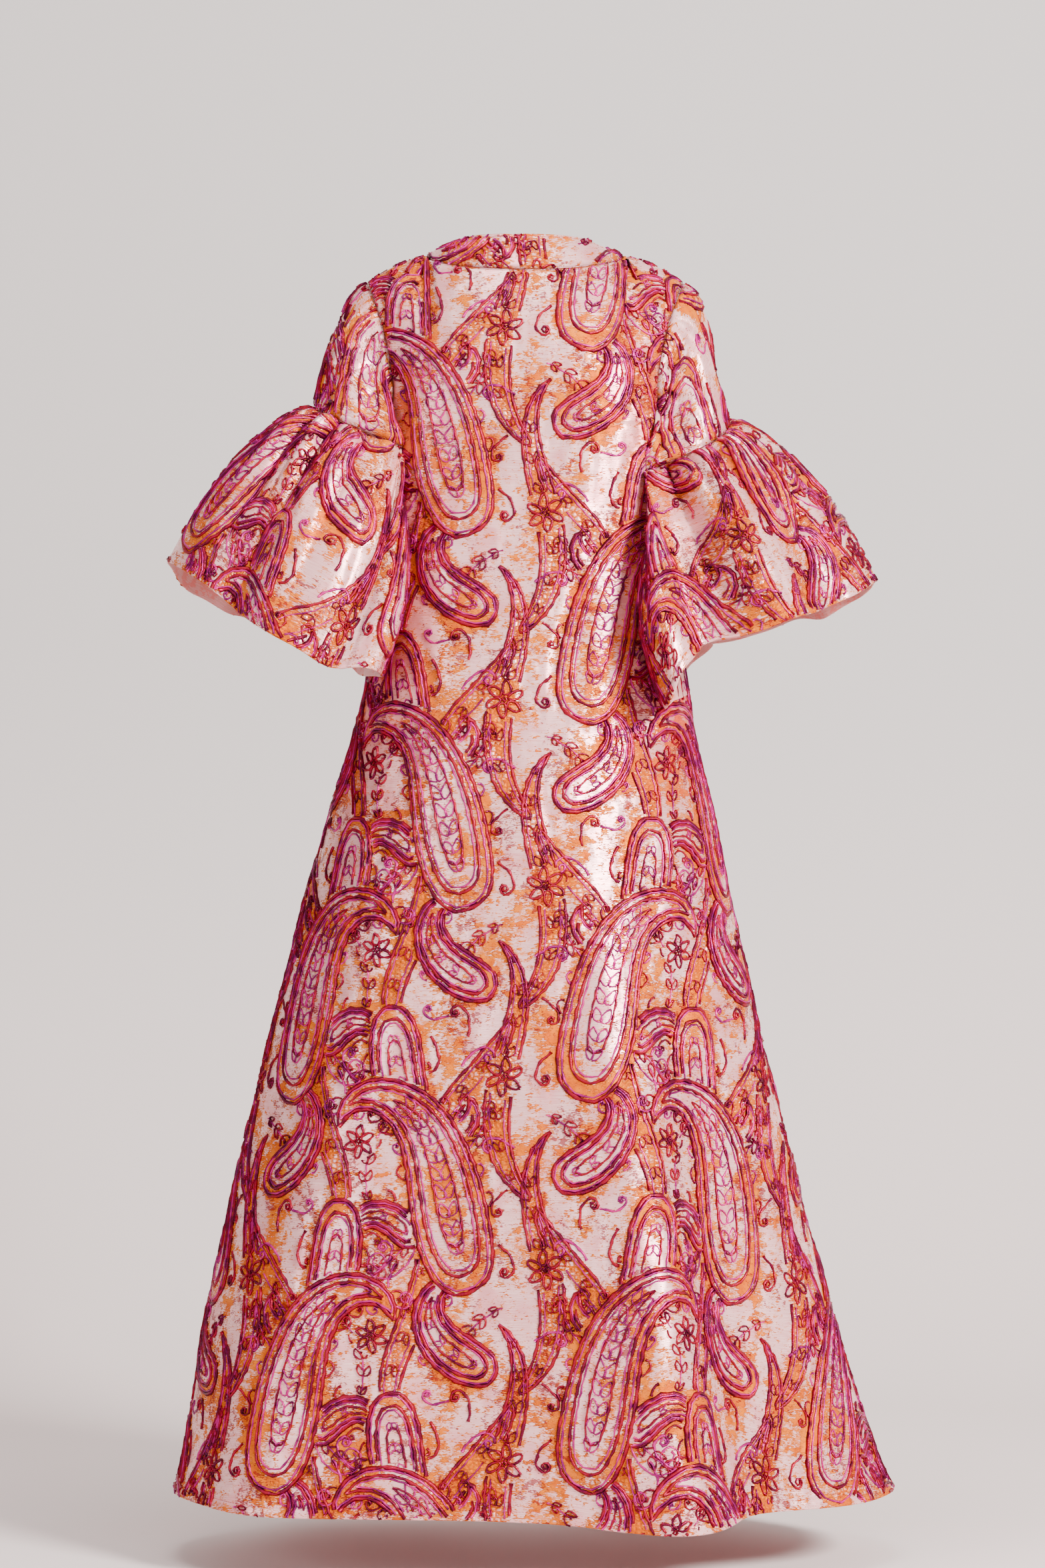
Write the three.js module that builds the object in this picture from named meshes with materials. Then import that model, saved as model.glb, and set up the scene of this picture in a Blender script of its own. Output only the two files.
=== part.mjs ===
// A floor-length duster coat in raised brocade, hollow, in the form it has when it is worn. It is
// collarless, with a flat neck band, set-in sleeves that end in wide gathered flounces, and a
// skirt that flares to the hem. The front is open from neck to hem, edge to edge.
// Millimetres, +Z up. The front faces -Y, and +X is the coat's own left. The origin lies midway
// between the shoulders, level with the neck points, where the coat is carried.
import * as THREE from "three";

// Cloth and seams
const wall = 2.2;
const seamGap = 0.36;

// Body lengths, as drops below the origin
const armpitDrop = 211;
const hemDrop = 1478;

// Shoulders and neckline, where the body panels end and the band begins
const shoulder = { tipX: 188, neckX: 118, y: 0, tipZ: -37, neckZ: -5, rise: 5 };
const neckSeam = { backY: 80, backZ: -29, frontY: -80, frontZ: -100 };
const neckEdge = { sideX: 76, sideZ: 12, backY: 55, backZ: 15, frontY: -57, frontZ: -60 };
const shoulderShare = 5 / 14; // of the way from the shoulder tip to the middle
const yokeFullness = 2; // how early the cloth above the armpits stands out to their ring

// Half the front opening, at the neck and at the hem
const opening = { neck: 3.2, hem: 26 };

// A quarter turn, kept just short of both ends so that the halves meet without sharing a point
const quarterTurn = { from: 1e-4, to: 89.99 };

// Rings of the body below the arms: half widths to each side, depths behind and in front, and
// the exponent of the oval
const bodySections = [
  { drop: 211, left: 176, right: 176, back: 124, front: 128, square: 2.6 },
  { drop: 330, left: 178, right: 178, back: 130, front: 138, square: 2.5 },
  { drop: 450, left: 182, right: 183, back: 140, front: 146, square: 2.35 },
  { drop: 524, left: 189, right: 190, back: 150, front: 153, square: 2.25 },
  { drop: 670, left: 230, right: 219, back: 174, front: 173, square: 2.15 },
  { drop: 854, left: 282, right: 259, back: 204, front: 202, square: 2.1 },
  { drop: 1070, left: 333, right: 315, back: 235, front: 234, square: 2.1 },
  { drop: 1285, left: 379, right: 373, back: 260, front: 263, square: 2.1 },
  { drop: 1440, left: 404, right: 416, back: 273, front: 282, square: 2.1 },
  { drop: 1478, left: 418, right: 434, back: 276, front: 286, square: 2.1 },
];

// Soft folds of the skirt, by the angle from +X towards the back: how wide each is, how far it
// stands out at the hem, how much longer the hem hangs there, and the drop where it starts
const skirtFolds = [
  { at: 110, spread: 8, out: 60, dip: 8, start: 560 },
  { at: 78, spread: 13, out: -24, dip: 0, start: 640 },
  { at: 134, spread: 10, out: -26, dip: 0, start: 700 },
  { at: 44, spread: 9, out: 14, dip: 2, start: 800 },
  { at: -34, spread: 10, out: -14, dip: 0, start: 760 },
  { at: -60, spread: 9, out: 34, dip: 4, start: 600 },
  { at: -121, spread: 9, out: 30, dip: 3, start: 640 },
  { at: -147, spread: 10, out: -14, dip: 0, start: 780 },
];

// The armhole's edge, from the shoulder tip to the armpit: the drop, the distance out to the
// side, and the distances behind and in front. Each row here is a row of the body's cells.
const armholeEdge = [
  { drop: 37, side: 188, back: 0, front: 0 },
  { drop: 40.5, side: 187, back: 14, front: 13 },
  { drop: 49, side: 184, back: 27, front: 26 },
  { drop: 61, side: 180, back: 39, front: 39 },
  { drop: 78, side: 174, back: 50, front: 51 },
  { drop: 98, side: 168, back: 59, front: 61 },
  { drop: 121, side: 162, back: 67, front: 69 },
  { drop: 145, side: 157.5, back: 73, front: 75 },
  { drop: 168, side: 154.5, back: 76, front: 78 },
  { drop: 187, side: 156, back: 74, front: 76 },
  { drop: 200, side: 163.4, back: 62, front: 64 },
  { drop: 207, side: 171.2, back: 43, front: 44 },
  { drop: 210.4, side: 175.1, back: 22, front: 22 },
  { drop: 211, side: 176, back: 0, front: 0 },
];
const yokeRows = armholeEdge.length - 1;

// The gather seam round the upper arm and the line that the flounce hangs along, on each side:
// its middle, the line's turn outwards and back, how far the sleeve cap stands out, and how much
// lower the seam is behind
const arms = {
  left: { side: 1, x: 180, y: 4, z: -216, tilt: 22, back: 3, cap: 0.88, low: 14 },
  right: { side: -1, x: 172, y: 4, z: -235, tilt: 22, back: 3, cap: 0.7, low: 27 },
};
const gatherRing = { across: 76, deep: 96, square: 2.6 };

// The flounce's profile on its outer side: how far down the arm line, and how far out from the
// gather seam
const flounceProfile = [
  { along: 0, down: 0, out: 0 },
  { along: 0.05, down: 3, out: 14 },
  { along: 0.13, down: 18, out: 30 },
  { along: 0.24, down: 41, out: 43 },
  { along: 0.38, down: 76, out: 59 },
  { along: 0.54, down: 118, out: 72 },
  { along: 0.7, down: 160, out: 81 },
  { along: 0.86, down: 205, out: 88 },
  { along: 1, down: 243, out: 92 },
];
const flounceSteps = [0, 0.05, 0.13, 0.24, 0.37, 0.52, 0.68, 0.84, 1];

// Creases that run down from the gather seam, by the angle from the outer side towards the
// back: half width in degrees, depth, and how far down the flounce they reach
const gathers = {
  left: [
    { at: 12, half: 8, deep: 8, reach: 0.34 },
    { at: 38, half: 9, deep: 12, reach: 0.6 },
    { at: 63, half: 8, deep: 9, reach: 0.42 },
    { at: 87, half: 9, deep: 13, reach: 0.7 },
    { at: 112, half: 8, deep: 9, reach: 0.38 },
    { at: 136, half: 9, deep: 11, reach: 0.5 },
    { at: 208, half: 8, deep: 8, reach: 0.4 },
    { at: 234, half: 9, deep: 12, reach: 0.62 },
    { at: 259, half: 8, deep: 9, reach: 0.4 },
    { at: 284, half: 9, deep: 12, reach: 0.55 },
    { at: 309, half: 8, deep: 8, reach: 0.36 },
    { at: 336, half: 9, deep: 11, reach: 0.5 },
  ],
  right: [
    { at: 8, half: 8, deep: 9, reach: 0.4 },
    { at: 33, half: 9, deep: 11, reach: 0.5 },
    { at: 60, half: 8, deep: 8, reach: 0.36 },
    { at: 92, half: 10, deep: 14, reach: 0.75 },
    { at: 120, half: 8, deep: 10, reach: 0.45 },
    { at: 143, half: 9, deep: 10, reach: 0.5 },
    { at: 212, half: 9, deep: 10, reach: 0.5 },
    { at: 238, half: 8, deep: 9, reach: 0.36 },
    { at: 264, half: 9, deep: 12, reach: 0.6 },
    { at: 290, half: 8, deep: 8, reach: 0.38 },
    { at: 315, half: 9, deep: 11, reach: 0.5 },
    { at: 341, half: 8, deep: 8, reach: 0.34 },
  ],
};

// Waves of the flounce's hem: how far each stands out or in, and how much longer it hangs
const flounceWaves = {
  left: [
    { at: 2, spread: 24, out: 2, longer: -8 },
    { at: 58, spread: 12, out: -18, longer: 6 },
    { at: 88, spread: 17, out: 14, longer: 22 },
    { at: 112, spread: 12, out: -10, longer: 24 },
    { at: 142, spread: 18, out: 52, longer: 4 },
    { at: 215, spread: 13, out: 14, longer: 12 },
    { at: 243, spread: 11, out: -18, longer: 14 },
    { at: 275, spread: 15, out: 14, longer: 24 },
    { at: 308, spread: 12, out: -16, longer: 22 },
    { at: 335, spread: 12, out: 6, longer: 18 },
  ],
  right: [
    { at: 0, spread: 20, out: 2, longer: -6 },
    { at: 42, spread: 12, out: -20, longer: -6 },
    { at: 72, spread: 14, out: 12, longer: -12 },
    { at: 104, spread: 12, out: -14, longer: -24 },
    { at: 126, spread: 9, out: 10, longer: -14 },
    { at: 146, spread: 16, out: 62, longer: 14 },
    { at: 214, spread: 14, out: 14, longer: -6 },
    { at: 246, spread: 12, out: -18, longer: 2 },
    { at: 278, spread: 15, out: 14, longer: 16 },
    { at: 312, spread: 12, out: -16, longer: 24 },
    { at: 338, spread: 12, out: 6, longer: 14 },
  ],
};

// Soft folds of the upper sleeve, by the same angle: how far each stands out half way down
const sleeveFolds = [
  { at: 48, spread: 14, out: 4 },
  { at: 80, spread: 9, out: -7 },
  { at: 112, spread: 12, out: 6 },
  { at: 250, spread: 14, out: 5 },
  { at: 285, spread: 9, out: -6 },
  { at: 318, spread: 12, out: 4 },
];

// How many cells each wall has
const halfColumns = 14; // from each side to the middle
const skirtRows = 14;
const bodyRows = yokeRows + skirtRows;
const flounceColumns = 72;
const sleeveRows = 6;
const bandRows = 2;

const degrees = Math.PI / 180;
const mix = (a, b, share) => a + (b - a) * share;
const clamp = (value) => Math.min(1, Math.max(0, value));
const ease = (value) => clamp(value) ** 2 * (3 - 2 * clamp(value));
const bell = (offset, spread) => Math.exp(-((offset / spread) ** 2) / 2);

// An angle brought to between -180 and 180 degrees
const turned = (angle) => angle - 360 * Math.round(angle / 360);

// A table's column read at a place between its rows, on a smooth curve through them
function reading(table, key, column, at) {
  const last = table.length - 1;
  const slope = (i) => {
    const [low, high] = [table[Math.max(0, i - 1)], table[Math.min(last, i + 1)]];
    return (high[column] - low[column]) / (high[key] - low[key]);
  };
  let i = 0;
  while (i < last - 1 && at > table[i + 1][key]) i++;
  const span = table[i + 1][key] - table[i][key];
  const t = clamp((at - table[i][key]) / span);
  return (
    mix(table[i][column], table[i + 1][column], ease(t)) +
    span * t * (1 - t) * ((1 - t) * slope(i) - t * slope(i + 1))
  );
}

// A quarter of an oval, as a pair that goes from 0, 1 to 1, 0
function quarter(share, square) {
  const angle = (share * Math.PI) / 2;
  return [Math.sin(angle) ** (2 / square), Math.cos(angle) ** (2 / square)];
}

const openingAt = (drop) => mix(opening.neck, opening.hem, clamp(drop / hemDrop));

// The body's ring at a drop: angle 0 at the left side, 90 at the middle of the back, -90 at
// the front edges, which stand apart by the opening
function ring(angle, drop) {
  const at = (column) => reading(bodySections, "drop", column, drop);
  const power = 2 / at("square");
  const [c, s] = [Math.cos(angle * degrees), Math.sin(angle * degrees)];
  const gap = s < 0 ? openingAt(drop) : 0;
  let [out, dip] = [0, 0];
  for (const fold of skirtFolds) {
    const here = bell(turned(angle - fold.at), fold.spread);
    const grown = ease((drop - fold.start) / (hemDrop - fold.start));
    out += fold.out * here * grown;
    dip += fold.dip * here * grown;
  }
  const side = gap + ((c > 0 ? at("left") : at("right")) - gap) * Math.abs(c) ** power;
  const deep = (s > 0 ? at("back") : at("front")) * Math.abs(s) ** power;
  const length = Math.hypot(side, deep);
  return new THREE.Vector3(
    Math.sign(c || 1) * side * (1 + out / length),
    Math.sign(s) * deep * (1 + out / length),
    -drop - dip,
  );
}

// The top edge of a body panel: along the shoulder from its tip, then round the neckline to
// the middle.
function topEdge(share, behind) {
  if (share < shoulderShare) {
    const run = share / shoulderShare;
    return new THREE.Vector3(
      mix(shoulder.tipX, shoulder.neckX, run),
      shoulder.y,
      mix(shoulder.tipZ, shoulder.neckZ, run) + 4 * shoulder.rise * run * (1 - run),
    );
  }
  const [s, c] = quarter((share - shoulderShare) / (1 - shoulderShare), 2);
  const middle = behind ? 0 : opening.neck;
  const [y, z] = behind
    ? [neckSeam.backY, neckSeam.backZ]
    : [neckSeam.frontY, neckSeam.frontZ];
  return new THREE.Vector3(
    mix(middle, shoulder.neckX, c),
    mix(shoulder.y, y, s),
    mix(shoulder.neckZ, z, s),
  );
}

// The angle round the armpits' ring that a row of the yoke starts from, below its armhole edge
function edgeAngle(row, behind) {
  const [deep, square] = [bodySections[0][behind ? "back" : "front"], bodySections[0].square];
  const out = Math.max(...armholeEdge.slice(row).map((edge) => edge[behind ? "back" : "front"]));
  return Math.asin((out / deep) ** (square / 2)) / degrees;
}

// The left half of the body above the armpits, by row and by the share of the way from the
// armhole to the middle: a sheet through the top edge, the armhole's edge, the middle line and
// the ring at the armpits
function yoke(share, row, behind) {
  const edge = armholeEdge[row];
  const [first, last] = [armholeEdge[0], armholeEdge[yokeRows]];
  const down = (edge.drop - first.drop) / (last.drop - first.drop);
  const full = 1 - (1 - down) ** yokeFullness;
  const start = edgeAngle(row, behind);
  const sheet = (to) => {
    const top = topEdge(to, behind);
    const base = ring((behind ? 1 : -1) * mix(start, quarterTurn.to, to), armpitDrop);
    const [x, y] = [mix(top.x, base.x, full), mix(top.y, base.y, full)];
    return new THREE.Vector3(x, y, mix(top.z, base.z, down));
  };
  const [point, corner] = [sheet(share), sheet(0)];
  const near = 1 - ease(share);
  point.x += near * (edge.side - corner.x);
  point.y += near * ((behind ? edge.back : -edge.front) - corner.y);
  return point;
}

// A point of the body by the share of the way from its side, or its armhole, to the middle
function bodyPoint(share, row, behind, side) {
  if (row > yokeRows) {
    const turn = (behind ? 1 : -1) * mix(quarterTurn.from, quarterTurn.to, share);
    const drop = mix(armpitDrop, hemDrop, (row - yokeRows) / skirtRows);
    return ring(side > 0 ? turn : 180 - turn, drop);
  }
  const point = yoke(share, Math.max(0, row), behind);
  point.x *= side;
  return point;
}

// A closed wall from a grid of points: a layer half a wall out on each side, joined at the rims
function clothWall(name, columns, rows, place, closed = false) {
  const across = closed ? columns : columns + 1;
  const grid = [];
  for (let r = 0; r <= rows; r++)
    for (let c = 0; c < across; c++) grid.push(place(c, r));
  const wrap = (c) => (closed ? (c + across) % across : Math.min(Math.max(c, 0), columns));
  const index = (c, r) => Math.min(Math.max(r, 0), rows) * across + wrap(c);
  const layers = [[], []];
  grid.forEach((point, i) => {
    const [c, r] = [i % across, Math.floor(i / across)];
    const along = grid[index(c + 1, r)].clone().sub(grid[index(c - 1, r)]);
    const down = grid[index(c, r + 1)].clone().sub(grid[index(c, r - 1)]);
    const normal = along.cross(down);
    if (Math.abs(point.y) < seamGap) normal.y = 0; // square across the side and shoulder seams
    normal.normalize();
    layers[0].push(point.clone().addScaledVector(normal, wall / 2));
    layers[1].push(point.clone().addScaledVector(normal, -wall / 2));
  });
  const faces = [];
  const quad = (a, b, c, d) => faces.push(a, b, c, a, c, d);
  const under = grid.length;
  for (let r = 0; r < rows; r++)
    for (let c = 0; c < columns; c++) {
      const [a, b, d, e] = [index(c, r), index(c + 1, r), index(c + 1, r + 1), index(c, r + 1)];
      quad(a, b, d, e);
      quad(under + e, under + d, under + b, under + a);
    }
  const rim = (a, b) => quad(b, a, under + a, under + b);
  for (let c = 0; c < columns; c++) {
    rim(index(c, 0), index(c + 1, 0));
    rim(index(c + 1, rows), index(c, rows));
  }
  for (let r = 0; r < rows && !closed; r++) {
    rim(index(0, r + 1), index(0, r));
    rim(index(columns, r), index(columns, r + 1));
  }
  const points = [...layers[0], ...layers[1]];
  if (volume(points, faces) < 0) faces.reverse();
  const geometry = new THREE.BufferGeometry().setFromPoints(points).setIndex(faces);
  geometry.computeVertexNormals();
  const mesh = new THREE.Mesh(geometry, brocade);
  mesh.name = name;
  return mesh;
}

// The signed volume inside a closed set of triangles
function volume(points, faces) {
  let sum = 0;
  for (let i = 0; i < faces.length; i += 3) {
    const [a, b, c] = [0, 1, 2].map((k) => points[faces[i + k]]);
    sum += a.dot(b.clone().cross(c)) / 6;
  }
  return sum;
}

const brocade = new THREE.MeshStandardMaterial({
  color: 0xd98a86,
  roughness: 0.42,
  metalness: 0.1,
});

function backPanel() {
  const shift = new THREE.Vector3(0, seamGap / 2, 0);
  return clothWall("back", 2 * halfColumns, bodyRows, (c, r) => {
    const share = 1 - Math.abs(c / halfColumns - 1);
    return bodyPoint(share, r, true, c <= halfColumns ? 1 : -1).add(shift);
  });
}

function frontPanel(name, side) {
  const shift = new THREE.Vector3(0, -seamGap / 2, 0);
  return clothWall(name, halfColumns, bodyRows, (c, r) =>
    bodyPoint(c / halfColumns, r, false, side).add(shift),
  );
}

// The cloth's outward normal at a point of the body's left half
function bodyNormal(share, row, behind) {
  const at = (s, r) => bodyPoint(s, r, behind, 1);
  const around = at(Math.min(1, share + 1 / halfColumns), row).sub(
    at(Math.max(0, share - 1 / halfColumns), row),
  );
  const down = at(share, row + 1).sub(at(share, row - 1));
  const normal = behind ? down.cross(around) : around.cross(down);
  if (Math.abs(at(share, row).y) < seamGap) normal.y = 0;
  return normal.normalize();
}

// The neck band, from the neckline seam up to its free edge. It runs from one front edge
// round the back to the other, a cell to each of the body's cells. Where it leaves the body at
// an angle it starts further off, by that part of the wall.
const bandColumns = 2 * Math.round((1 - shoulderShare) * halfColumns);
function neckBand() {
  return clothWall("neck_band", 2 * bandColumns, bandRows, (c, r) => {
    const round = c / bandColumns - 1; // -1 and 1 at the front edges, 0 at the middle behind
    const behind = Math.abs(round) < 0.5;
    const toMiddle = Math.abs(1 - Math.abs(round) * 2);
    const share = mix(shoulderShare, 1, toMiddle);
    const seam = topEdge(share, behind);
    const [s, co] = quarter(toMiddle, 2);
    const edge = new THREE.Vector3(
      mix(behind ? 0 : opening.neck, neckEdge.sideX, co),
      mix(shoulder.y, behind ? neckEdge.backY : neckEdge.frontY, s),
      mix(neckEdge.sideZ, behind ? neckEdge.backZ : neckEdge.frontZ, s),
    );
    const way = edge.clone().sub(seam);
    const width = way.length();
    const bend = Math.abs(way.dot(bodyNormal(share, 0, behind))) / width;
    const start = (seamGap + (bend * wall) / 2) / width;
    const point = seam.addScaledVector(way, mix(start, 1, r / bandRows));
    if (round < 0) point.x = -point.x;
    return point;
  });
}

// The armhole's edge on the left side, as a closed chain of corners: down the back from the
// shoulder tip, and up the front
const sleeveColumns = 4 * yokeRows;
function armholeCorner(corner) {
  const place = (corner + 2 * yokeRows) % (2 * yokeRows);
  const behind = place <= yokeRows;
  const row = behind ? place : 2 * yokeRows - place;
  return { point: bodyPoint(0, row, behind, 1), normal: bodyNormal(0, row, behind) };
}

// How far round the arm each corner comes to lie, in degrees, by its length along the edge
const armholeTurns = [0];
for (let corner = 1; corner <= 2 * yokeRows; corner++) {
  const step = armholeCorner(corner).point.distanceTo(armholeCorner(corner - 1).point);
  armholeTurns.push(armholeTurns[corner - 1] + step);
}
const [halfEdge, wholeEdge] = [armholeTurns[yokeRows], armholeTurns[2 * yokeRows]];
armholeTurns.forEach((length, corner) => {
  armholeTurns[corner] =
    corner <= yokeRows
      ? (180 * length) / halfEdge
      : 180 + (180 * (length - halfEdge)) / (wholeEdge - halfEdge);
});

// The edge with two cells to each of the body's, so that it keeps to their chords: the point,
// the outward normal, the way out from the panel in its own surface, and the turn
function armholeFrame(column) {
  const half = Math.floor(column / 2);
  const next = half + (column % 2);
  const [a, b] = [armholeCorner(half), armholeCorner(next)];
  const point = a.point.clone().lerp(b.point, 0.5);
  const normal = a.normal.clone().add(b.normal).normalize();
  const before = armholeCorner(column % 2 ? half : half - 1).point;
  const along = armholeCorner(half + 1).point.sub(before);
  const out = along.cross(normal).normalize();
  return { point, normal, out, turn: mix(armholeTurns[half], armholeTurns[next], 0.5) };
}

// A point kept clear of the body's left side, pushed straight out to that side
function clearOfBody(point, clearance, share = 1) {
  const drop = Math.min(hemDrop, Math.max(armpitDrop, -point.z));
  const at = (column) => reading(bodySections, "drop", column, drop);
  const deep = (point.y > 0 ? at("back") : at("front")) + clearance;
  const square = at("square");
  const near = Math.abs(point.y) / deep;
  if (near < 1) {
    const side = (at("left") + clearance) * (1 - near ** square) ** (1 / square);
    point.x = mix(point.x, Math.max(point.x, side), share);
  }
  return point;
}

// The axes of an arm: along it, out from it away from the body, and its gather seam's middle
function armAxes(arm) {
  const [tilt, back] = [arm.tilt * degrees, arm.back * degrees];
  const along = new THREE.Vector3(Math.sin(tilt), Math.sin(back), -Math.cos(tilt)).normalize();
  const behind = new THREE.Vector3(0, 1, 0).addScaledVector(along, -along.y).normalize();
  const outward = along.clone().cross(behind).normalize();
  return { along, behind, outward, middle: new THREE.Vector3(arm.x, arm.y, arm.z) };
}

// How far the cloth of an arm keeps from the middle of the body's wall, at the gather seam and
// lower down
const bodyClearance = wall + 1.4;
const hangClearance = 7;

// A point of the gather seam, and the way straight out from the arm there
function gatherPoint(arm, angle) {
  const { behind, outward, middle } = armAxes(arm);
  const [c, s] = [Math.cos(angle * degrees), Math.sin(angle * degrees)];
  const power = 2 / gatherRing.square;
  const radial = outward
    .multiplyScalar(gatherRing.across * Math.sign(c) * Math.abs(c) ** power)
    .addScaledVector(behind, gatherRing.deep * Math.sign(s) * Math.abs(s) ** power);
  middle.z -= arm.low * Math.sign(s) * Math.abs(s) ** power;
  const seam = clearOfBody(middle.add(radial), bodyClearance);
  return { seam, radial: radial.normalize() };
}

// Built on the left, and mirrored for the right arm
const mirrored = (point, arm) => {
  if (arm.side < 0) point.x = -point.x;
  return point;
};

// How the upper sleeve leaves the armhole: its lift off the panels in degrees at the top and at
// the armpit, the spare distance of a lifted edge, how strongly it ends along the arm, and
// between which shares of its length it comes to be kept clear of the body
const sleeveStart = { topLift: 9, armpitLift: 90, spare: 0.6, fall: 1.1, clearFrom: 0.1, clearBy: 0.5 };

// The upper sleeve leaves the armhole along the shoulder at the top and straight out at the
// armpit, and then turns down the arm to the gather seam
function sleeve(name, arm) {
  const { along } = armAxes(arm);
  const place = (c, r) => {
    const { point, normal, out, turn } = armholeFrame(c);
    const low = ((1 - Math.cos(turn * degrees)) / 2) ** 2;
    const lift = mix(sleeveStart.topLift, sleeveStart.armpitLift, low) * degrees;
    const off = seamGap + Math.sin(lift) * (wall / 2 + sleeveStart.spare);
    const start = point.addScaledVector(out, off);
    const leave = out.multiplyScalar(Math.cos(lift)).addScaledVector(normal, Math.sin(lift));
    const end = gatherPoint(arm, turn).seam;
    const reach = start.distanceTo(end);
    const t = r / sleeveRows;
    const [t2, t3] = [t * t, t * t * t];
    const made = start
      .multiplyScalar(2 * t3 - 3 * t2 + 1)
      .addScaledVector(leave, (t3 - 2 * t2 + t) * reach * arm.cap)
      .addScaledVector(end, 3 * t2 - 2 * t3)
      .addScaledVector(along, (t3 - t2) * reach * sleeveStart.fall);
    let fold = 0;
    for (const row of sleeveFolds)
      fold += row.out * bell(turned(turn - row.at), row.spread) * Math.sin(Math.PI * t);
    made.addScaledVector(normal, fold);
    const { clearFrom, clearBy } = sleeveStart;
    const clear = ease((t - clearFrom) / (clearBy - clearFrom));
    return mirrored(clearOfBody(made, bodyClearance, clear), arm);
  };
  return clothWall(name, sleeveColumns, sleeveRows, place, true);
}

// How the flounce grows down its length: its spread to the front and back beside that to the
// side, the depth of its creases at the seam and where they are full, where its waves are full,
// the share down to which it comes away from the body, and its spare distance at the seam
const flounceGrowth = { frontBack: 0.78, atSeam: 0.25, fullBy: 0.06, waves: 1.35, away: 0.5, spare: 0.2 };

// The flounce springs out from the gather seam, between its creases, and falls in waves
function flounce(name, arm, creases, waves) {
  const { along } = armAxes(arm);
  const place = (c, r) => {
    const angle = (360 * c) / flounceColumns;
    const share = flounceSteps[r];
    const at = (column) => reading(flounceProfile, "along", column, share);
    const { seam, radial } = gatherPoint(arm, angle);
    let out = at("out") * mix(1, flounceGrowth.frontBack, Math.abs(Math.sin(angle * degrees)));
    let down = at("down");
    for (const crease of creases) {
      const near = clamp(1 - Math.abs(turned(angle - crease.at)) / crease.half);
      const fade = clamp(1 - share / crease.reach);
      const grown = ease(share / flounceGrowth.fullBy + flounceGrowth.atSeam);
      out -= crease.deep * near * Math.sqrt(fade) * grown;
    }
    for (const wave of waves) {
      const here = bell(turned(angle - wave.at), wave.spread);
      out += wave.out * here * ease(share * flounceGrowth.waves);
      down += wave.longer * here * ease(share);
    }
    const made = seam
      .addScaledVector(radial, out)
      .addScaledVector(along, down + seamGap + wall / 2 + flounceGrowth.spare);
    const clearance = mix(bodyClearance, hangClearance, ease(share / flounceGrowth.away));
    return mirrored(clearOfBody(made, clearance), arm);
  };
  const rows = flounceSteps.length - 1;
  return clothWall(name, flounceColumns, rows, place, true);
}

const coat = new THREE.Group();
coat.add(backPanel(), frontPanel("front_left", 1), frontPanel("front_right", -1), neckBand());
for (const side of ["left", "right"]) {
  coat.add(sleeve("sleeve_" + side, arms[side]));
  coat.add(flounce("flounce_" + side, arms[side], gathers[side], flounceWaves[side]));
}

export default coat;
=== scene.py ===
import bpy
import numpy as np
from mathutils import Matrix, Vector


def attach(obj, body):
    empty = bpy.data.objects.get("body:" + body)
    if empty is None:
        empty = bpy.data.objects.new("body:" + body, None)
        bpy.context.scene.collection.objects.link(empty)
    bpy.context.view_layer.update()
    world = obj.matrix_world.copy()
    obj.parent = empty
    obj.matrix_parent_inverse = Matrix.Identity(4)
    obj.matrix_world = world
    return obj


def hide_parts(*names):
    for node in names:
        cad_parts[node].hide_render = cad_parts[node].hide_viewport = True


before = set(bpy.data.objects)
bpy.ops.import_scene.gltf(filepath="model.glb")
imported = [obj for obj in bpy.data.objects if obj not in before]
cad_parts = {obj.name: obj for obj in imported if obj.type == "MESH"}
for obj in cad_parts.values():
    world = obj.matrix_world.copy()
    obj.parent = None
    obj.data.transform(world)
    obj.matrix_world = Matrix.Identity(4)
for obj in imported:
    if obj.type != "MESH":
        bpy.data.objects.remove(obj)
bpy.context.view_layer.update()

millimetre = 0.001

# Camera and the plain studio
view = {"place": (0.0032, 5.6, -0.636), "lens": 107.5, "sensor": 36}
studio = {
    "floor": -1.556, "halfWide": 7.0, "near": 7.5, "wall": -2.6, "bend": 1.3, "high": 4.2,
    "paper": (0.635, 0.59, 0.575), "floorPaper": (0.84, 0.715, 0.69), "rough": 0.75,
    "air": (0.90, 0.89, 0.89), "airLight": 0.5,
}
lamps = {  # place, height of the point it is aimed at, size, watts, tint
    "keyLamp": ((-2.9, 3.4, 1.2), -0.6, 1.3, 620, (1.0, 0.985, 0.965)),
    "fillLamp": ((3.6, 3.6, 0.2), -0.8, 2.6, 92, (0.97, 0.985, 1.0)),
    "topLamp": ((0.2, 0.8, 2.6), -0.4, 1.6, 86, (1.0, 0.99, 0.98)),
    "frontLamp": ((1.4, -3.6, 0.9), -0.7, 2.4, 100, (1.0, 0.99, 0.98)),
}

cameraData = bpy.data.cameras.new("camera")
cameraData.sensor_fit = "VERTICAL"
cameraData.sensor_height = view["sensor"]
cameraData.lens = view["lens"]
cameraData.dof.use_dof = False
camera = bpy.data.objects.new("camera", cameraData)
camera.location = view["place"]
camera.rotation_euler = (np.pi / 2, 0, np.pi)
bpy.context.scene.collection.objects.link(camera)
bpy.context.scene.camera = camera

for name, (place, aim, size, watts, tint) in lamps.items():
    lightData = bpy.data.lights.new(name, "AREA")
    lightData.shape = "DISK"
    lightData.size = size
    lightData.energy = watts
    lightData.color = tint
    light = bpy.data.objects.new(name, lightData)
    light.location = place
    light.rotation_euler = (Vector((0, 0, aim)) - Vector(place)).to_track_quat("-Z", "Y").to_euler()
    bpy.context.scene.collection.objects.link(light)

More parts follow.
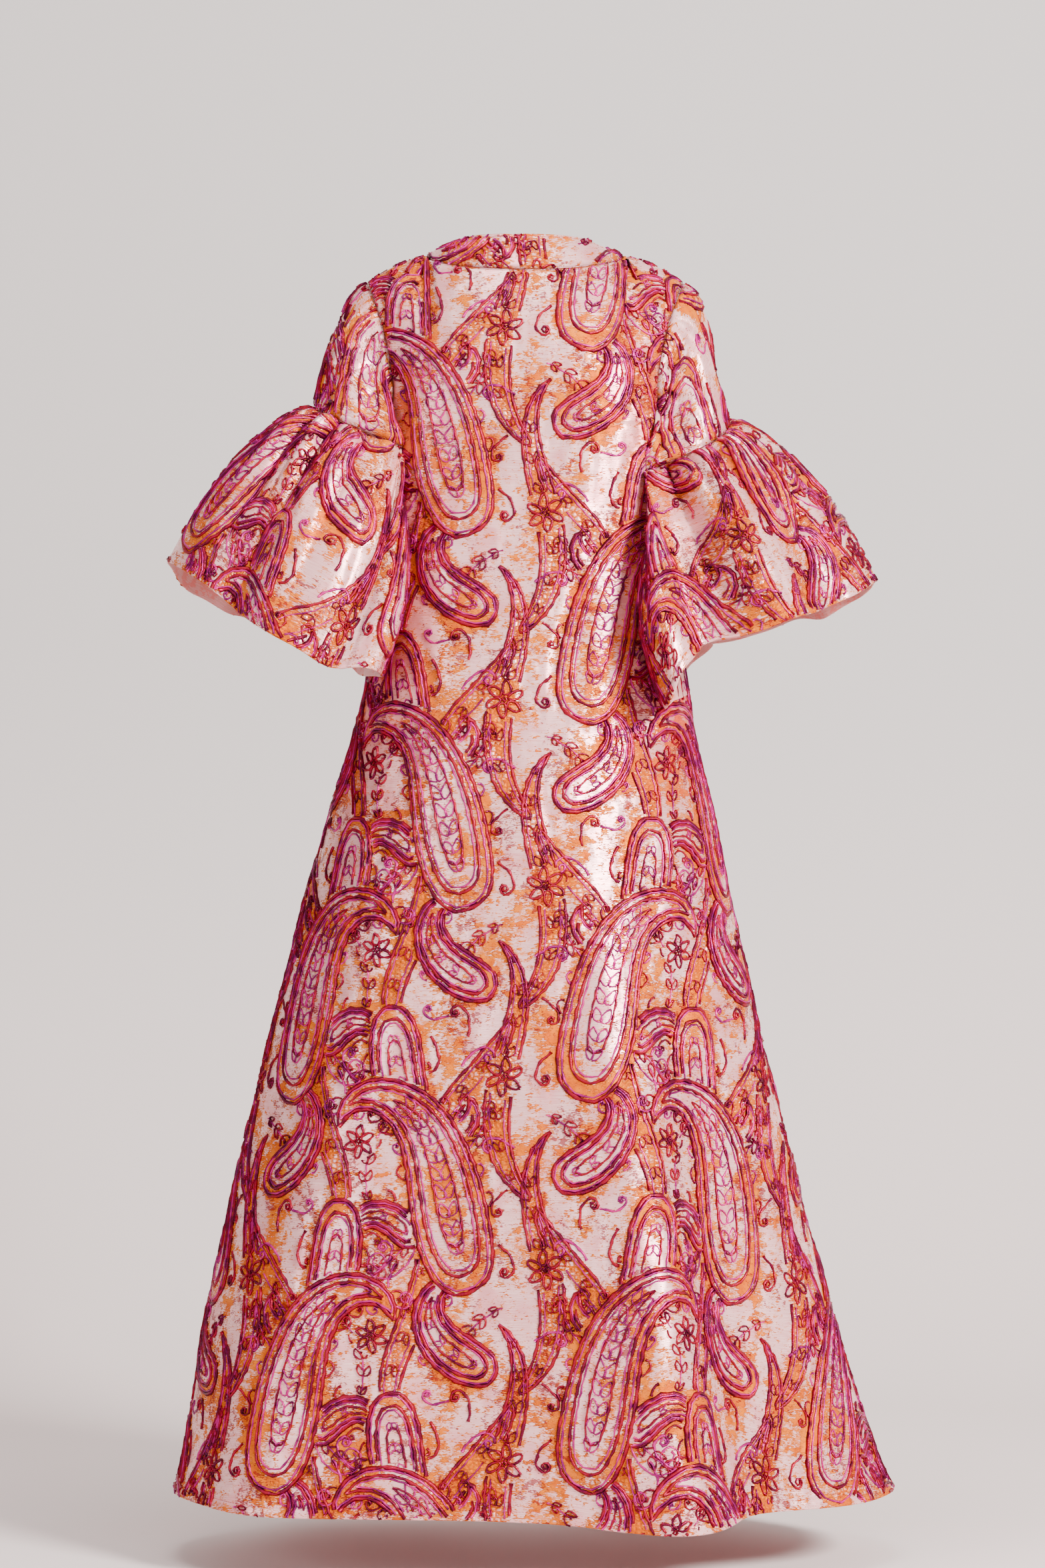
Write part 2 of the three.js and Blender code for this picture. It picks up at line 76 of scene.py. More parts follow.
world = bpy.data.worlds.new("studioAir")
world.use_nodes = True
air = world.node_tree.nodes["Background"]
air.inputs["Color"].default_value = (*studio["air"], 1)
air.inputs["Strength"].default_value = studio["airLight"]
bpy.context.scene.world = world
print("camera and lamps made")


# A new object from arrays: points in millimetres, faces that all have the same number of
# corners, and a number per face that picks its material. The corners' places on the flat cloth
# go in as a UV map, and values at the points as attributes.
def makePiece(name, points, faces, materials, slots=None, cornerPlaces=None, values=None):
    mesh = bpy.data.meshes.new(name)
    mesh.vertices.add(len(points))
    mesh.vertices.foreach_set("co", (points * millimetre).astype(np.float32).ravel())
    sides = faces.shape[1]
    mesh.loops.add(faces.size)
    mesh.loops.foreach_set("vertex_index", faces.astype(np.int32).ravel())
    mesh.polygons.add(len(faces))
    mesh.polygons.foreach_set("loop_start", np.arange(0, faces.size, sides, dtype=np.int32))
    mesh.polygons.foreach_set("use_smooth", np.ones(len(faces), dtype=bool))
    for material in materials:
        mesh.materials.append(material)
    if slots is not None:
        mesh.polygons.foreach_set("material_index", slots.astype(np.int32))
    mesh.update(calc_edges=True)
    if cornerPlaces is not None:
        layer = mesh.uv_layers.new(name="cut")
        layer.data.foreach_set("uv", (cornerPlaces * millimetre).astype(np.float32).ravel())
    for key, value in (values or {}).items():
        attribute = mesh.attributes.new(key, "FLOAT", "POINT")
        attribute.data.foreach_set("value", value.astype(np.float32))
    piece = bpy.data.objects.new(name, mesh)
    bpy.context.scene.collection.objects.link(piece)
    return piece


# The body's cut and fall, in millimetres, as the solids have it
cloth = {"outer": 1.1, "inner": -0.5, "seamGap": 0.36}
lengths = {"armpit": 211, "hem": 1478}
shoulder = {"tipX": 188, "neckX": 118, "tipZ": -37, "neckZ": -5, "rise": 5, "share": 5 / 14}
neckSeam = {"backY": 80, "backZ": -29, "frontY": -80, "frontZ": -100}
neckEdge = {"sideX": 76, "sideZ": 12, "backY": 55, "backZ": 15, "frontY": -57, "frontZ": -60}
opening = {"neck": 3.2, "hem": 26}
bodyRings = {
    "drop": [211, 330, 450, 524, 670, 854, 1070, 1285, 1440, 1478],
    "left": [176, 178, 182, 189, 230, 282, 333, 379, 404, 418],
    "right": [176, 178, 183, 190, 219, 259, 315, 373, 416, 434],
    "back": [124, 130, 140, 150, 174, 204, 235, 260, 273, 276],
    "front": [128, 138, 146, 153, 173, 202, 234, 263, 282, 286],
    "square": [2.6, 2.5, 2.35, 2.25, 2.15, 2.1, 2.1, 2.1, 2.1, 2.1],
}
skirtFolds = [  # angle from the left side towards the back, spread, out, dip, drop where it starts
    (110, 8, 60, 8, 560), (78, 13, -24, 0, 640), (134, 10, -26, 0, 700), (44, 9, 14, 2, 800),
    (-34, 10, -14, 0, 760), (-60, 9, 34, 4, 600), (-121, 9, 30, 3, 640), (-147, 10, -14, 0, 780),
]
armhole = {
    "row": list(range(14)),  # from the shoulder down to the armpit
    "drop": [37, 40.5, 49, 61, 78, 98, 121, 145, 168, 187, 200, 207, 210.4, 211],
    "side": [188, 187, 184, 180, 174, 168, 162, 157.5, 154.5, 156, 163.4, 171.2, 175.1, 176],
    "back": [0, 14, 27, 39, 50, 59, 67, 73, 76, 74, 62, 43, 22, 0],
    "front": [0, 13, 26, 39, 51, 61, 69, 75, 78, 76, 64, 44, 22, 0],
}
yokeRows = 13
skirtRows = 14
arms = {
    "left": {"side": 1, "x": 180, "y": 4, "z": -216, "tilt": 22, "back": 3, "cap": 0.88, "low": 14},
    "right": {"side": -1, "x": 172, "y": 4, "z": -235, "tilt": 22, "back": 3, "cap": 0.7, "low": 27},
}
gatherRing = {"across": 76, "deep": 96, "square": 2.6}
flounceProfile = {
    "along": [0, 0.05, 0.13, 0.24, 0.38, 0.54, 0.7, 0.86, 1],
    "down": [0, 3, 18, 41, 76, 118, 160, 205, 243],
    "out": [0, 14, 30, 43, 59, 72, 81, 88, 92],
}
gathers = {  # angle, half width, depth, reach
    "left": [
        (12, 8, 8, 0.34), (38, 9, 12, 0.6), (63, 8, 9, 0.42), (87, 9, 13, 0.7), (112, 8, 9, 0.38),
        (136, 9, 11, 0.5), (208, 8, 8, 0.4), (234, 9, 12, 0.62), (259, 8, 9, 0.4), (284, 9, 12, 0.55),
        (309, 8, 8, 0.36), (336, 9, 11, 0.5),
    ],
    "right": [
        (8, 8, 9, 0.4), (33, 9, 11, 0.5), (60, 8, 8, 0.36), (92, 10, 14, 0.75), (120, 8, 10, 0.45),
        (143, 9, 10, 0.5), (212, 9, 10, 0.5), (238, 8, 9, 0.36), (264, 9, 12, 0.6), (290, 8, 8, 0.38),
        (315, 9, 11, 0.5), (341, 8, 8, 0.34),
    ],
}
flounceWaves = {  # angle, spread, out, longer
    "left": [
        (2, 24, 2, -8), (58, 12, -18, 6), (88, 17, 14, 22), (112, 12, -10, 24), (142, 18, 52, 4),
        (215, 13, 14, 12), (243, 11, -18, 14), (275, 15, 14, 24), (308, 12, -16, 22), (335, 12, 6, 18),
    ],
    "right": [
        (0, 20, 2, -6), (42, 12, -20, -6), (72, 14, 12, -12), (104, 12, -14, -24), (126, 9, 10, -14),
        (146, 16, 62, 14), (214, 14, 14, -6), (246, 12, -18, 2), (278, 15, 14, 16), (312, 12, -16, 24),
        (338, 12, 6, 14),
    ],
}
sleeveFolds = [  # angle, spread, height
    (48, 14, 4), (80, 9, -7), (112, 12, 6), (250, 14, 5), (285, 9, -6), (318, 12, 4),
]
quarter = {"first": 1e-4, "last": 89.99}  # degrees from the side to the middle, just inside both
normalStep = {"share": 0.07, "row": 0.5, "flat": 6}
clearance = {"sleeve": 3.6, "flounce": 7}
ripples = {"waves": 5, "across": (0.5, 1.6), "along": (-1.2, 1.2), "shift": (0, 6.28), "size": 2.6}


def mix(a, b, share):
    return a + (b - a) * share


def ease(value):  # a smooth step from 0 to 1
    value = np.clip(value, 0, 1)
    return value ** 2 * (3 - 2 * value)


def bell(offset, spread):
    return np.exp(-((offset / spread) ** 2) / 2)


def turned(angle):  # brought to between -180 and 180
    return angle - 360 * np.round(angle / 360)


def lengthOf(vectors):
    return np.linalg.norm(vectors, axis=-1, keepdims=True)


def unit(vectors):
    return vectors / np.maximum(lengthOf(vectors), 1e-9)


def runOf(line):  # how far along a line each of its points lies
    return np.concatenate([[0], np.cumsum(lengthOf(np.diff(line, axis=0))[:, 0])])


def readLine(at, run, line):
    return np.stack([np.interp(at, run, line[:, 0]), np.interp(at, run, line[:, 1])], 1)


def stretches(shown):  # where each unbroken stretch starts, and where it has stopped
    ends = np.flatnonzero(np.diff(np.concatenate([[0], shown.astype(int), [0]])))
    return zip(ends[::2], ends[1::2])


# A column of a table read between its rows: each span is a cubic with the slopes of its
# neighbours' chords
def reading(table, key, column, at):
    keys, values = np.asarray(table[key], float), np.asarray(table[column], float)
    i = np.clip(np.searchsorted(keys, at) - 1, 0, len(keys) - 2)
    low = np.maximum(np.arange(len(keys)) - 1, 0)
    high = np.minimum(np.arange(len(keys)) + 1, len(keys) - 1)
    slopes = (values[high] - values[low]) / (keys[high] - keys[low])
    span = keys[i + 1] - keys[i]
    t = np.clip((at - keys[i]) / span, 0, 1)
    bow = span * t * (1 - t) * ((1 - t) * slopes[i] - t * slopes[i + 1])
    return mix(values[i], values[i + 1], ease(t)) + bow


def bodyReading(column, drop):
    return reading(bodyRings, "drop", column, drop)


# The body's ring: a squared oval of half widths and depths read at the drop, scaled by its
# folds, with a gap at the front's opening
def ring(angle, drop):
    angle, drop = np.broadcast_arrays(angle, drop)
    power = 2 / bodyReading("square", drop)
    c, s = np.cos(np.radians(angle)), np.sin(np.radians(angle))
    parted = mix(opening["neck"], opening["hem"], np.clip(drop / lengths["hem"], 0, 1))
    gap = np.where(s < 0, parted, 0)
    out, dip = np.zeros(angle.shape), np.zeros(angle.shape)
    for at, spread, foldOut, foldDip, start in skirtFolds:
        grown = bell(turned(angle - at), spread) * ease((drop - start) / (lengths["hem"] - start))
        out += foldOut * grown
        dip += foldDip * grown
    half = np.where(c < 0, bodyReading("right", drop), bodyReading("left", drop))
    side = gap + (half - gap) * np.abs(c) ** power
    deep = np.where(s < 0, bodyReading("front", drop), bodyReading("back", drop)) * np.abs(s) ** power
    grow = 1 + out / np.hypot(side, deep)
    return np.stack([np.where(c < 0, -1, 1) * side * grow, np.sign(s) * deep * grow, -drop - dip], -1)


# The body panels' top edge: a slightly bowed shoulder line, then a quarter oval to the middle
def topEdge(share, behind):
    run = np.clip(share / shoulder["share"], 0, 1)
    height = mix(shoulder["tipZ"], shoulder["neckZ"], run) + 4 * shoulder["rise"] * run * (1 - run)
    line = np.stack([mix(shoulder["tipX"], shoulder["neckX"], run), 0 * run, height], -1)
    turn = np.clip((share - shoulder["share"]) / (1 - shoulder["share"]), 0, 1) * np.pi / 2
    middle = 0 if behind else opening["neck"]
    face = "back" if behind else "front"
    x = mix(middle, shoulder["neckX"], np.cos(turn))
    z = mix(shoulder["neckZ"], neckSeam[face + "Z"], np.sin(turn))
    neck = np.stack([x, neckSeam[face + "Y"] * np.sin(turn), z], -1)
    return np.where((share < shoulder["share"])[..., None], line, neck)


# The yoke above the armpits: a sheet between the top edge and the ring at the armpits, drawn
# to the armhole's edge by an eased share of what is missing there
def yoke(share, row, behind):
    share, row = np.broadcast_arrays(share, row)
    face = "back" if behind else "front"
    facing = 1 if behind else -1
    tip, armpit = armhole["drop"][0], armhole["drop"][-1]
    down = (reading(armhole, "row", "drop", row) - tip) / (armpit - tip)
    full = 1 - (1 - down) ** 2
    widest = np.maximum.accumulate(np.array(armhole[face])[::-1])[::-1]
    angles = np.degrees(np.arcsin((widest / bodyRings[face][0]) ** (bodyRings["square"][0] / 2)))
    start = reading({"row": armhole["row"], "angle": angles}, "row", "angle", row)

    def sheet(to):
        top = topEdge(to, behind)
        base = ring(facing * mix(start, quarter["last"], to), lengths["armpit"])
        shares = (full, full, down)
        return np.stack([mix(top[..., i], base[..., i], shares[i]) for i in range(3)], -1)

    point, corner = sheet(share), sheet(0 * share)
    near = 1 - ease(share)
    point[..., 0] += near * (reading(armhole, "row", "side", row) - corner[..., 0])
    point[..., 1] += near * (facing * reading(armhole, "row", face, row) - corner[..., 1])
    return point


# The body on its left side or its right: the yoke's sheet above the armpits, rings below
def bodyPoint(share, row, behind, side=1):
    share, row, side = np.broadcast_arrays(share, row, side)
    upper = yoke(share, np.clip(row, 0, yokeRows), behind)
    upper[..., 0] *= side
    drop = mix(lengths["armpit"], lengths["hem"], np.clip(row - yokeRows, 0, None) / skirtRows)
    turn = (1 if behind else -1) * mix(quarter["first"], quarter["last"], share)
    lower = ring(np.where(side > 0, turn, 180 - turn), drop)
    return np.where((row > yokeRows)[..., None], lower, upper)


# The body's outward normal at its left half, from small steps round and down
def bodyNormal(share, row, behind):
    step = normalStep["share"]
    farther, nearer = np.minimum(1, share + step), np.maximum(0, share - step)
    around = bodyPoint(farther, row, behind) - bodyPoint(nearer, row, behind)
    step = normalStep["row"]
    down = bodyPoint(share, row + step, behind) - bodyPoint(share, row - step, behind)
    normal = np.cross(down, around) if behind else np.cross(around, down)
    deep = np.abs(bodyPoint(share, row, behind)[..., 1])
    normal[..., 1] *= np.clip(deep / normalStep["flat"], 0, 1)
    return unit(normal)


# A sum of a few slanted sines of uneven lengths, between about -1 and 1
def ripple(a, b, seed):
    random = np.random.default_rng(seed)
    total = 0
    for _ in range(ripples["waves"]):
        byA, byB, shift = (random.uniform(*ripples[key]) for key in ("across", "along", "shift"))
        total = total + np.sin(a * byA + b * byB + shift)
    return total / ripples["size"]


# A point left where it is, or pushed straight out sideways until it is clear of the body
def clearOfBody(points, clear, share=1.0):
    drop = np.clip(-points[..., 2], lengths["armpit"], lengths["hem"])
    face = np.where(points[..., 1] > 0, bodyReading("back", drop), bodyReading("front", drop))
    square = bodyReading("square", drop)
    near = np.clip(np.abs(points[..., 1]) / (face + clear), 0, 1)
    side = (bodyReading("left", drop) + clear) * (1 - near ** square) ** (1 / square)
    pushed = points.copy()
    pushed[..., 0] = mix(points[..., 0], np.maximum(points[..., 0], side), share * (near < 1))
    return pushed


# The brocade's repeat, in millimetres of flat cloth: a half-drop, with every second column
# mirrored. Strokes start at x, y with a heading in degrees, and y runs down the cloth.
repeat = {
    "wide": 186, "high": 440, "grain": 1.5, "wobble": 0.6, "waves": ((0.41, 0.13), (0.37, -0.17)),
    "steps": 34, "shortest": 4.1, "longest": 7.4,
}
figures = [
    {"spine": {"x": 62, "y": 352, "heading": -66, "length": 330, "turn": -62, "curl": 215},
     "fat": 43, "lean": 0.5},
    {"spine": {"x": 158, "y": 26, "heading": 98, "length": 236, "turn": -16, "curl": 230},
     "fat": 30, "lean": 0.52},
    {"spine": {"x": 34, "y": 446, "heading": -16, "length": 176, "turn": -50, "curl": -160},
     "fat": 25, "lean": 0.52},
    {"spine": {"x": 128, "y": 300, "heading": -64, "length": 120, "turn": 70, "curl": 200},
     "fat": 17, "lean": 0.54},
]
sashes = [  # winding bands that run under the figures
    {"spine": {"x": 8, "y": 470, "heading": -140, "length": 320, "turn": 170, "curl": -170},
     "fat": 15, "lean": 0.8},
    {"spine": {"x": 122, "y": 300, "heading": 100, "length": 240, "turn": -110, "curl": 190},
     "fat": 14, "lean": 0.8},
    {"spine": {"x": 14, "y": 40, "heading": 70, "length": 230, "turn": -90, "curl": 210},
     "fat": 13, "lean": 0.75},
]


strokeSteps = 400


# A stroke: its heading turns evenly, and its curl adds more and more towards the end
def stroke(x, y, heading, length, turn=0, curl=0, count=60):
    s = (1 - np.cos(np.pi * np.linspace(0, 1, count + 1))) / 2
    fine = np.linspace(0, 1, strokeSteps + 1)
    angle = np.radians(heading + turn * fine + curl * fine ** 3)
    middle = (angle[1:] + angle[:-1]) / 2
    way = np.stack([np.cos(middle), np.sin(middle)], 1) * length / strokeSteps
    line = np.vstack([[0.0, 0.0], np.cumsum(way, 0)]) + (x, y)
    return s, readLine(s, fine, line), np.interp(s, fine, angle)


# Where a stroke is at a share of its length, and its heading there in radians
def strokePlace(spine, place):
    s, line, angle = stroke(**spine)
    return (np.interp(place, s, values) for values in (line[:, 0], line[:, 1], angle))


# A teardrop round a stroke: half width = fat * sin(pi * s^lean)^0.75
def teardrop(spine, fat, lean=0.5, share=1.0, start=0.0, end=1.0):
    s, line, angle = stroke(**spine)
    place = mix(start, end, s)
    middle = readLine(place, s, line)
    angle = np.interp(place, s, angle)
    half = fat * share * np.sin(np.pi * s ** lean) ** 0.75
    side = np.stack([-np.sin(angle), np.cos(angle)], 1) * half[:, None]
    return np.vstack([(middle + side)[::-1], (middle - side)[1:]])


def leaf(x, y, heading, length, fat, turn=20):
    spine = {"x": x, "y": y, "heading": heading, "length": length, "turn": turn, "count": 12}
    return teardrop(spine, fat, 0.8)


# Pairs of leaves along a stroke, largest in its middle
def leafRow(spine, count, length, fat, spread=46, start=0.06, end=0.96):
    leaves = []
    for place in np.linspace(start, end, count):
        x, y, way = strokePlace(spine, place)
        size = 0.62 + 0.38 * np.sin(np.pi * place)
        for side in (1, -1):
            heading = np.degrees(way) + side * spread
            leaves.append(leaf(x, y, heading, length * size, fat * size, -side * 35))
    return leaves


# Petals round a middle, and the middle itself, as shares of the blossom's size
def blossom(x, y, size, petals, turn):
    shapes = []
    for heading in turn + np.arange(petals) * 360 / petals:
        way = np.radians(heading)
        petalX, petalY = x + size * 0.2 * np.cos(way), y + size * 0.2 * np.sin(way)
        shapes.append(leaf(petalX, petalY, heading, size * 0.8, size * 0.22, 25))
    spine = {"x": x - size * 0.13, "y": y, "heading": 0, "length": size * 0.26, "count": 12}
    return shapes + [teardrop(spine, size * 0.12, 1.0)]


# Which points lie inside a polygon, by counting the edges to their right
def inside(points, polygon):
    low, high = polygon.min(0), polygon.max(0)
    hit = np.all((points > low) & (points < high), axis=1)
    x, y = points[hit, 0][:, None], points[hit, 1][:, None]
    a, b = polygon, np.roll(polygon, -1, 0)
    crosses = (a[:, 1] > y) != (b[:, 1] > y)
    rise = np.where(b[:, 1] == a[:, 1], 1e-9, b[:, 1] - a[:, 1])
    right = x < (b[:, 0] - a[:, 0]) * (y - a[:, 1]) / rise + a[:, 0]
    hit[hit] = np.sum(crosses & right, axis=1) % 2 == 1
    return hit


# The copies of a shape that reach the first two columns: as drawn, and mirrored half a drop down
def copies(points):
    wide, high = repeat["wide"], repeat["high"]
    found = []
    for column in range(-2, 4):
        across = points[:, 0] if column % 2 == 0 else wide - points[:, 0]
        for row in range(-2, 3):
            down = points[:, 1] + row * high + column % 2 * high / 2
            found.append(np.stack([across + column * wide, down], 1))
    return found


# A line's points set evenly along it, closer on a short line than on a long one
def evenly(line):
    run = runOf(line)
    step = np.clip(run[-1] / repeat["steps"], repeat["shortest"], repeat["longest"])
    at = np.linspace(0, run[-1], max(3, round(run[-1] / step)) + 1)
    return readLine(at, run, line)


figureLines = [  # share of the width, start and end along the spine, half width, metallic
    (1.0, 0, 1, 2.7, 0), (0.88, 0.012, 0.975, 1.6, 1), (0.7, 0.06, 0.91, 2.2, 0),
    (0.59, 0.08, 0.87, 1.4, 1), (0.3, 0.16, 0.74, 1.6, 0),
]
blossoms = [  # x, y, size, petals, turn
    (156, 262, 27, 7, 10), (112, 386, 25, 7, 0), (24, 108, 23, 6, 15), (178, 400, 20, 6, 30),
]
scrolls = [  # x, y, heading, length, turn, curl, half width before it is drawn bolder, metallic
    (8, 336, -86, 260, 40, 430, 1.2, 0), (15, 336, -85, 236, 40, 400, 0.8, 1),
    (116, 268, 84, 200, -50, -560, 1.2, 0), (122, 270, 84, 176, -50, -540, 0.8, 1),
    (172, 252, -96, 160, -40, -520, 1.1, 0), (178, 254, -96, 140, -40, -500, 0.8, 1),
    (150, 318, 60, 120, 80, 560, 1.0, 1), (20, 84, 40, 120, 80, 600, 1.1, 0),
    (104, 8, 200, 110, -90, -560, 1.0, 0), (168, 366, 100, 110, 60, 620, 1.1, 0),
    (74, 96, -120, 90, -60, -520, 1.0, 1), (56, 300, -80, 80, 60, 620, 0.8, 0),
    (96, 330, 150, 70, 40, 640, 1.0, 0), (100, 214, -30, 76, -30, -640, 0.9, 0),
    (60, 168, 60, 66, 40, 640, 0.9, 1), (140, 410, -60, 74, 30, 620, 1.0, 0),
    (20, 238, 30, 72, 30, 640, 0.9, 0), (88, 36, 20, 70, -30, -640, 0.9, 1),
    (84, 300, 10, 84, 60, 560, 1.0, 0), (110, 170, 100, 80, 40, 620, 1.0, 1),
    (66, 60, -100, 84, 50, 600, 1.0, 0), (150, 220, 170, 74, 40, 640, 1.0, 0),
    (12, 190, -40, 80, 40, 600, 1.0, 1), (90, 430, 150, 80, -50, -600, 1.0, 0),
    (106, 148, -100, 96, 30, 620, 1.1, 0), (110, 60, 120, 92, -40, -620, 1.1, 0),
    (84, 220, 80, 96, -30, -640, 1.0, 0), (94, 366, -20, 88, 40, 620, 1.1, 0),
    (176, 330, -150, 88, 50, 600, 1.1, 1), (30, 300, 140, 84, -40, -600, 1.0, 0),
]
sprigs = [  # spine, pairs of leaves, their length and width
    ({"x": 128, "y": 276, "heading": 66, "length": 120, "turn": -50}, 7, 18, 4.4),
    ({"x": 26, "y": 372, "heading": 20, "length": 100, "turn": 60}, 6, 16, 4.0),
    ({"x": 40, "y": 110, "heading": 96, "length": 110, "turn": -60}, 6, 16, 4.0),
    ({"x": 180, "y": 250, "heading": -70, "length": 90, "turn": -60}, 5, 15, 3.8),
]
innerLeaves = {"every": 38, "long": 0.5, "fat": 0.13, "spread": 44, "start": 0.14, "end": 0.66}
sashLeaves = {"every": 40, "long": 1.05, "fat": 0.28, "spread": 40, "start": 0.1, "end": 0.9}
sashLines = [(1, 0, 1, 2.2, 0), (0.6, 0.03, 0.97, 1.15, 1)]  # as the figures' lines
bold = {
    "scroll": 1.9, "blossom": 1.8, "curl": 1.5, "sprig": 1.2,
    "innerLeaf": 1.2, "sashLeaf": 1.0, "sprigLeaf": 1.3,
}
shownLeast = {"curl": 0.8, "scroll": 0.72}  # a stroke that shows less than this is left out
curls = {"every": 19, "off": 3.5, "lean": 60, "length": 34, "longer": 7, "turn": 150, "curl": 380}


# A row of leaves sized by the shape that it lies in
def leavesIn(shape, look):
    spine, fat = shape["spine"], shape["fat"]
    pairs = round(spine["length"] / look["every"])
    length, wide = fat * look["long"], fat * look["fat"]
    return leafRow(spine, pairs, length, wide, look["spread"], look["start"], look["end"])


# The repeat's drawing: every line with its half width and whether it is metallic. A line of a
# lower layer stops where a figure of a higher layer covers it.
def drawRepeat():
    lines, covers = [], []

    def add(points, half, lurex=0, under=0, least=0.0):
        points = evenly(points)
        (byY, byX), (crossX, crossY) = repeat["waves"]
        x, y = points[:, 0], points[:, 1]
        wobble = np.stack([np.sin(y * byY + x * byX), np.sin(x * crossX + y * crossY)], 1)
        points = points + repeat["wobble"] * wobble
        shown = np.ones(len(points), bool)
        for cover in covers[:under]:
            for copy in copies(cover):
                shown &= ~inside(points, copy)
        if np.mean(shown) < least:
            return
        for first, last in stretches(shown):
            if last - first > 3:
                lines.append((points[first:last], half, lurex))

    for level, figure in enumerate(figures):
        spine, fat, lean = figure["spine"], figure["fat"], figure["lean"]
        for share, start, end, half, lurex in figureLines:
            add(teardrop(spine, fat, lean, share, start, end), half, lurex, level)
        for shape in leavesIn(figure, innerLeaves):
            add(shape, bold["innerLeaf"], 1, level)
        covers.append(teardrop(spine, fat + 3, lean))
    for x, y, size, petals, turn in blossoms:
        for shape in blossom(x, y, size, petals, turn):
            add(shape, bold["blossom"], 0, len(figures))
        around = np.linspace(0, 2 * np.pi, 25)[:-1]
        covers.append(np.stack([x + size * np.cos(around), y + size * np.sin(around)], 1))
    under = len(covers)
    for figure in figures:
        spine, fat, lean = figure["spine"], figure["fat"], figure["lean"]
        for i, place in enumerate(np.linspace(0.06, 0.92, round(spine["length"] / curls["every"]))):
            wide = fat * np.sin(np.pi * place ** lean) ** 0.75 + curls["off"]
            x, y, way = strokePlace(spine, place)
            side = 1 if i % 2 else -1
            startX, startY = x - side * wide * np.sin(way), y + side * wide * np.cos(way)
            heading = np.degrees(way) + side * curls["lean"]
            length = curls["length"] + curls["longer"] * (i % 3)
            curl = stroke(startX, startY, heading, length, -side * curls["turn"], -side * curls["curl"], 30)
            add(curl[1], bold["curl"], i % 3 == 0, under, shownLeast["curl"])
    for sash in sashes:
        spine, fat, lean = sash["spine"], sash["fat"], sash["lean"]
        for share, start, end, half, lurex in sashLines:
            add(teardrop(spine, fat, lean, share, start, end), half, lurex, under)
        for shape in leavesIn(sash, sashLeaves):
            add(shape, bold["sashLeaf"], 0, under)
    for x, y, heading, length, turn, curl, half, lurex in scrolls:
        line = stroke(x, y, heading, length, turn, curl)[1]
        add(line, bold["scroll"] * half, lurex, under, shownLeast["scroll"])
    for spine, count, length, fat in sprigs:
        for shape in leafRow(spine, count, length, fat):
            add(shape, bold["sprigLeaf"], 0, under)
        add(stroke(**spine)[1], bold["sprig"], 1, under)
    return lines


repeatLines = drawRepeat()
drawn = sum(runOf(line)[-1] for line, *_ in repeatLines)
print("repeat drawn", len(repeatLines), "lines", round(drawn), "mm")


teardropCuts = {  # wider, share of the width, start and end along the spine
    "outer": (0, 1, 0, 1), "core": (0, 0.7, 0.06, 0.91),
    "halo": (11, 1, 0, 1), "netting": (0, 0.98, 0.3, 0.98),
}
sprayRise = {"soft": 6, "from": 0.25, "over": 0.22}
orangeShares = {
    "band": 0.42, "ground": 0.36, "sash": 0.4, "lines": 0.25, "all": 0.18, "core": 0.04, "most": 0.72,
}
raisedShares = {"outer": 0.9, "core": 0.7, "lines": 0.9, "ground": -0.9, "bands": 0.4}


# Fields of the repeat on a fine grid of its two columns: how thick the orange picks lie, where
# the scale mesh fills, where tufts show, where the wine field lays a painted crimson shadow
# beside the cords and its crimson flecks, and how far the cloth stands up. Each is a sum of
# filled shapes and softened lines, with the shares that gave the look of the cloth.
def drawFields():
    grain = repeat["grain"]
    across, down = round(2 * repeat["wide"] / grain), round(repeat["high"] / grain)
    x = (np.arange(across) + 0.5) * 2 * repeat["wide"] / across
    y = (np.arange(down) + 0.5) * repeat["high"] / down
    places = np.stack(np.broadcast_arrays(x[None, :], y[:, None]), -1).reshape(-1, 2)

    def fill(shape):
        field = np.zeros(len(places), bool)
        for copy in copies(shape):
            field |= inside(places, copy)
        return field.reshape(down, across).astype(float)

    def soften(field, times):
        for _ in range(times):
            above = np.roll(field, 1, 0) + np.roll(field, -1, 0)
            field = (2 * field + above + np.roll(field, 1, 1) + np.roll(field, -1, 1)) / 6
        return field

    def fillAll(shapes, wider, *cut):
        drops = (teardrop(shape["spine"], shape["fat"] + wider, shape["lean"], *cut) for shape in shapes)
        return np.maximum.reduce([fill(drop) for drop in drops])

    outer, core, halo, netting = (fillAll(figures, *cut) for cut in teardropCuts.values())
    bands = fillAll(sashes, 0)
    lines = np.zeros((down, across))
    for points, *_ in repeatLines:
        for copy in copies(points):
            i, j = np.floor(copy[:, 0] / grain).astype(int), np.floor(copy[:, 1] / grain).astype(int)
            near = (i >= 0) & (i < across) & (j >= 0) & (j < down)
            lines[j[near], i[near]] = 1
    spray = ease((soften(lines, sprayRise["soft"]) - sprayRise["from"]) / sprayRise["over"])
    lines = soften(lines, 2)
    band = np.clip(outer - core, 0, 1)
    ground = np.clip(halo - outer, 0, 1)
    sashOnly = np.clip(bands - outer, 0, 1)
    shares = orangeShares
    orange = shares["band"] * band + shares["ground"] * ground + shares["sash"] * sashOnly
    orange = orange + shares["lines"] * soften(lines, 4) * (1 - core) + shares["all"] + shares["core"] * core
    shares = raisedShares
    raised = soften(outer, 5) * shares["outer"] + soften(core, 8) * shares["core"] + lines * shares["lines"]
    raised = raised + shares["ground"] * soften(ground, 3) + shares["bands"] * soften(bands, 3)
    # The wine field: a painted crimson shadow beside the cords, and the density of the crimson flecks there
    return {
        "orange": soften(np.clip(orange, 0, orangeShares["most"]), 2),
        "mesh": soften(np.clip(netting * band + 0.8 * sashOnly, 0, 1), 1),
        "raised": raised, "spray": soften(spray, 2), "wine": soften(np.clip(1.5 * lines, 0, 1), 1),
    }


repeatFields = drawFields()


